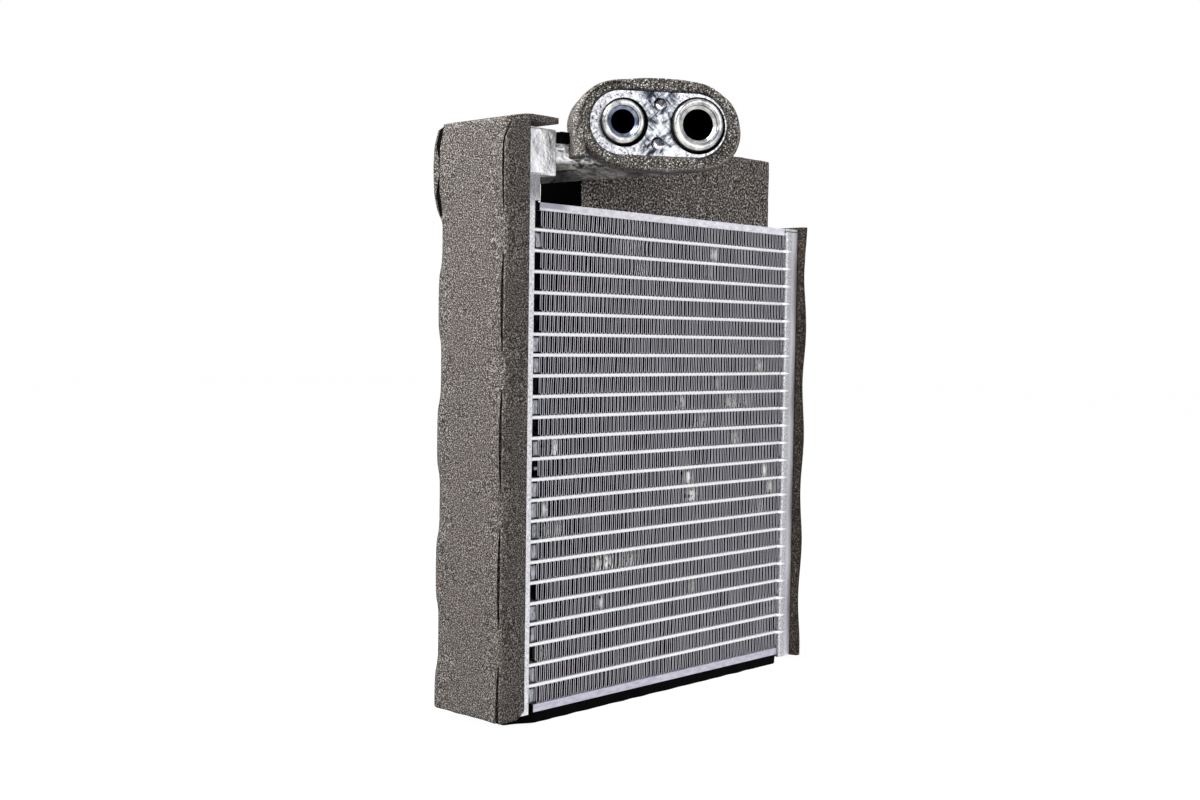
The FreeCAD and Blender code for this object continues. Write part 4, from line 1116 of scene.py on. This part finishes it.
def add_area_light(name, place, target, size, power):
    """A white lamp as a square of this size, turned to its target."""
    data = bpy.data.lights.new(name, "AREA")
    data.shape = "RECTANGLE"
    data.size = size
    data.size_y = size
    data.energy = power
    light = add_object(name, data)
    light.location = place
    light.rotation_euler = (Vector(target) - Vector(place)).to_track_quat("-Z", "Y").to_euler()


def seen_share(tree):
    """1 for rays from the camera or a mirror or clear surface, and 0 for light on the object."""
    path = add(tree, "LightPath").outputs
    seen = combine(tree, "MAXIMUM", path["Is Camera Ray"], path["Is Glossy Ray"])
    return combine(tree, "MAXIMUM", seen, path["Is Transmission Ray"])


def light_studio():
    """Soft light from the left, a weaker one in front and a pale surround."""
    world = bpy.data.worlds.new("studio")
    bpy.context.scene.world = world
    world.use_nodes = True
    tree = world.node_tree
    background = next(node for node in tree.nodes if node.type == "BACKGROUND")
    strength = map_range(tree, seen_share(tree), 0.0, 1.0, low=0.32, high=1.0)
    tree.links.new(strength, background.inputs["Strength"])
    background.inputs["Color"].default_value = linear("#ffffff")
    add_area_light("key", place=(-0.66, -0.03, 0.8), target=(-0.1, 0, 0.16), size=0.5, power=8.8)
    add_area_light("front", place=(-0.3, -1.4, 0.6), target=(0, 0, 0.14), size=0.6, power=2.5)


def lay_floor():
    """A white floor that keeps a soft shadow."""
    mesh = bpy.data.meshes.new("floor")
    reach = 6.0
    mesh.from_pydata([(-reach, -reach, 0), (reach, -reach, 0), (reach, reach, 0),
                      (-reach, reach, 0)], [], [(0, 1, 2, 3)])
    material = bpy.data.materials.new("white studio floor")
    material.use_nodes = True
    tree = material.node_tree
    tree.nodes.clear()
    matt = add(tree, "BsdfDiffuse", {"Color": linear("#7c7c7c")})
    glow = add(tree, "Emission", {"Color": linear("#ffffff"), "Strength": 0.93})
    both = add(tree, "AddShader", {0: matt.outputs[0], 1: glow.outputs[0]})
    mix = add(tree, "MixShader", {0: seen_share(tree), 1: matt.outputs[0], 2: both.outputs[0]})
    add(tree, "OutputMaterial", {"Surface": mix.outputs[0]})
    mesh.materials.append(material)
    floor = add_object("floor", mesh)


bpy.context.scene.view_settings.view_transform = "Standard"
place_camera()
light_studio()
lay_floor()

wrap_foam = foam_material("open-cell foam sheet", "#1e1b19", "#655e5a", "#d6cfca", cell=0.62)
pad_foam = foam_material("open-cell foam pad", "#161312", "#6a625e", "#fff8f2", cell=0.95)
cut_foam = foam_material("cut open-cell foam", "#1a1816", "#524d47", "#b8b2aa", cell=0.7,
                         painted_glint="#ffffff")
lap_foam = foam_material("cut open-cell foam in the light", "#2b2826", "#78716b", "#d8d2cb",
                         cell=0.7, painted_glint="#ffffff")
# Painted light: a lit copy of the foam for the ring's rim.
rim_lit_foam = foam_material("foam edge painted lit", "#6c6562", "#9a918e", "#cfc7c4", cell=0.85)
rim_foam = foam_material("lit rim of the foam", "#8f8986", "#c6c0bd", "#f6f1ee", cell=0.85)
dim_foam = foam_material("foam in the header's shade", "#0d0b0a", "#38322c", "#8a7d70", cell=0.8)
# Painted shade for the slits of the inlet wrap.
slit_shade_foam = foam_material("foam painted with slit shade", "#0b0909", "#14110f", "#1e1a18", cell=1.2,
                          gloss=0.05)
# Painted shade: near-black foam for the pad's left end.
shaded_foam = foam_material("foam painted with deep shade", "#010101", "#020202", "#050505", cell=1.2,
                            gloss=0.02)
strip_foam = foam_material("dark closed-cell foam", "#010101", "#030303", "#0b0a0a", cell=1.2,
                           gloss=0.05)
fins = fin_material()
tabs = aluminium_material("flattened aluminium foil", "#6f727a", "#b9bbc2", roughness=0.4,
                          grain=(90.0, 40.0, 40.0))
tubes = aluminium_material("brazed aluminium tube", "#f0f1f4", "#ffffff", roughness=0.5,
                           strength=0.3)
inlet_tank = inlet_tank_material()
return_tank = return_tank_material()
plates = plate_material()
duct = duct_material()
pressed = aluminium_material("pressed aluminium sheet", "#dcdce2", "#ffffff", roughness=0.5,
                             grain=(14.0, 14.0, 14.0), strength=0.7, relief=2.5)
machined = machined_material(BLOCK_FACE, BLOCK_TURN)
seats = aluminium_material("turned aluminium", "#74777d", "#dfdfdb", roughness=0.26,
                           grain=(20.0, 20.0, 20.0))
pale_floor = aluminium_material("pale anodised aluminium", "#ece4e8", "#fbf7f9", roughness=0.3)
# Painted shade: spot faces near black, and the liquid seat's sunk ring dark blue.
spot_shade = aluminium_material("spot face painted with shade", "#111311", "#33382f", roughness=0.5)
sunk_ring_shade = aluminium_material("turned aluminium painted with blue shade", "#39415a", "#8d96ad", roughness=0.25,
                               grain=(25.0, 25.0, 25.0))
bores = aluminium_material("shadowed bore", "#040405", "#0a0a0c", roughness=0.6)
# Braze metal painted near black, as shade in the corner by the inlet header.
shade_braze = aluminium_material("braze metal painted with shade", "#0c0c0d", "#222225", roughness=0.6)

dress(nodes_from("flat_tube_"), tubes)
dress(["inlet_header"], inlet_tank)
dress(["return_header"], return_tank)
dress(["bottom_side_plate", "top_side_plate"], plates)
dress(["duct_bracket"], pressed)
dress(["duct_front_shell", "duct_back_plate"], duct)

make_fins(fins, tabs)
make_tube_tips(tubes)
make_corner_braze(shade_braze)
make_inlet_wrap(wrap_foam, slit_shade_foam)
make_return_wrap(wrap_foam, dim_foam, rim_foam)
make_bars(pad_foam, shaded_foam, strip_foam)
make_plate(machined)
make_seats(seats, sunk_ring_shade, bores, spot_shade)
make_bolt_floors(pale_floor)
make_ring(cut_foam, lap_foam, wrap_foam, rim_lit_foam, strip_foam)
make_bracket_face(pressed)
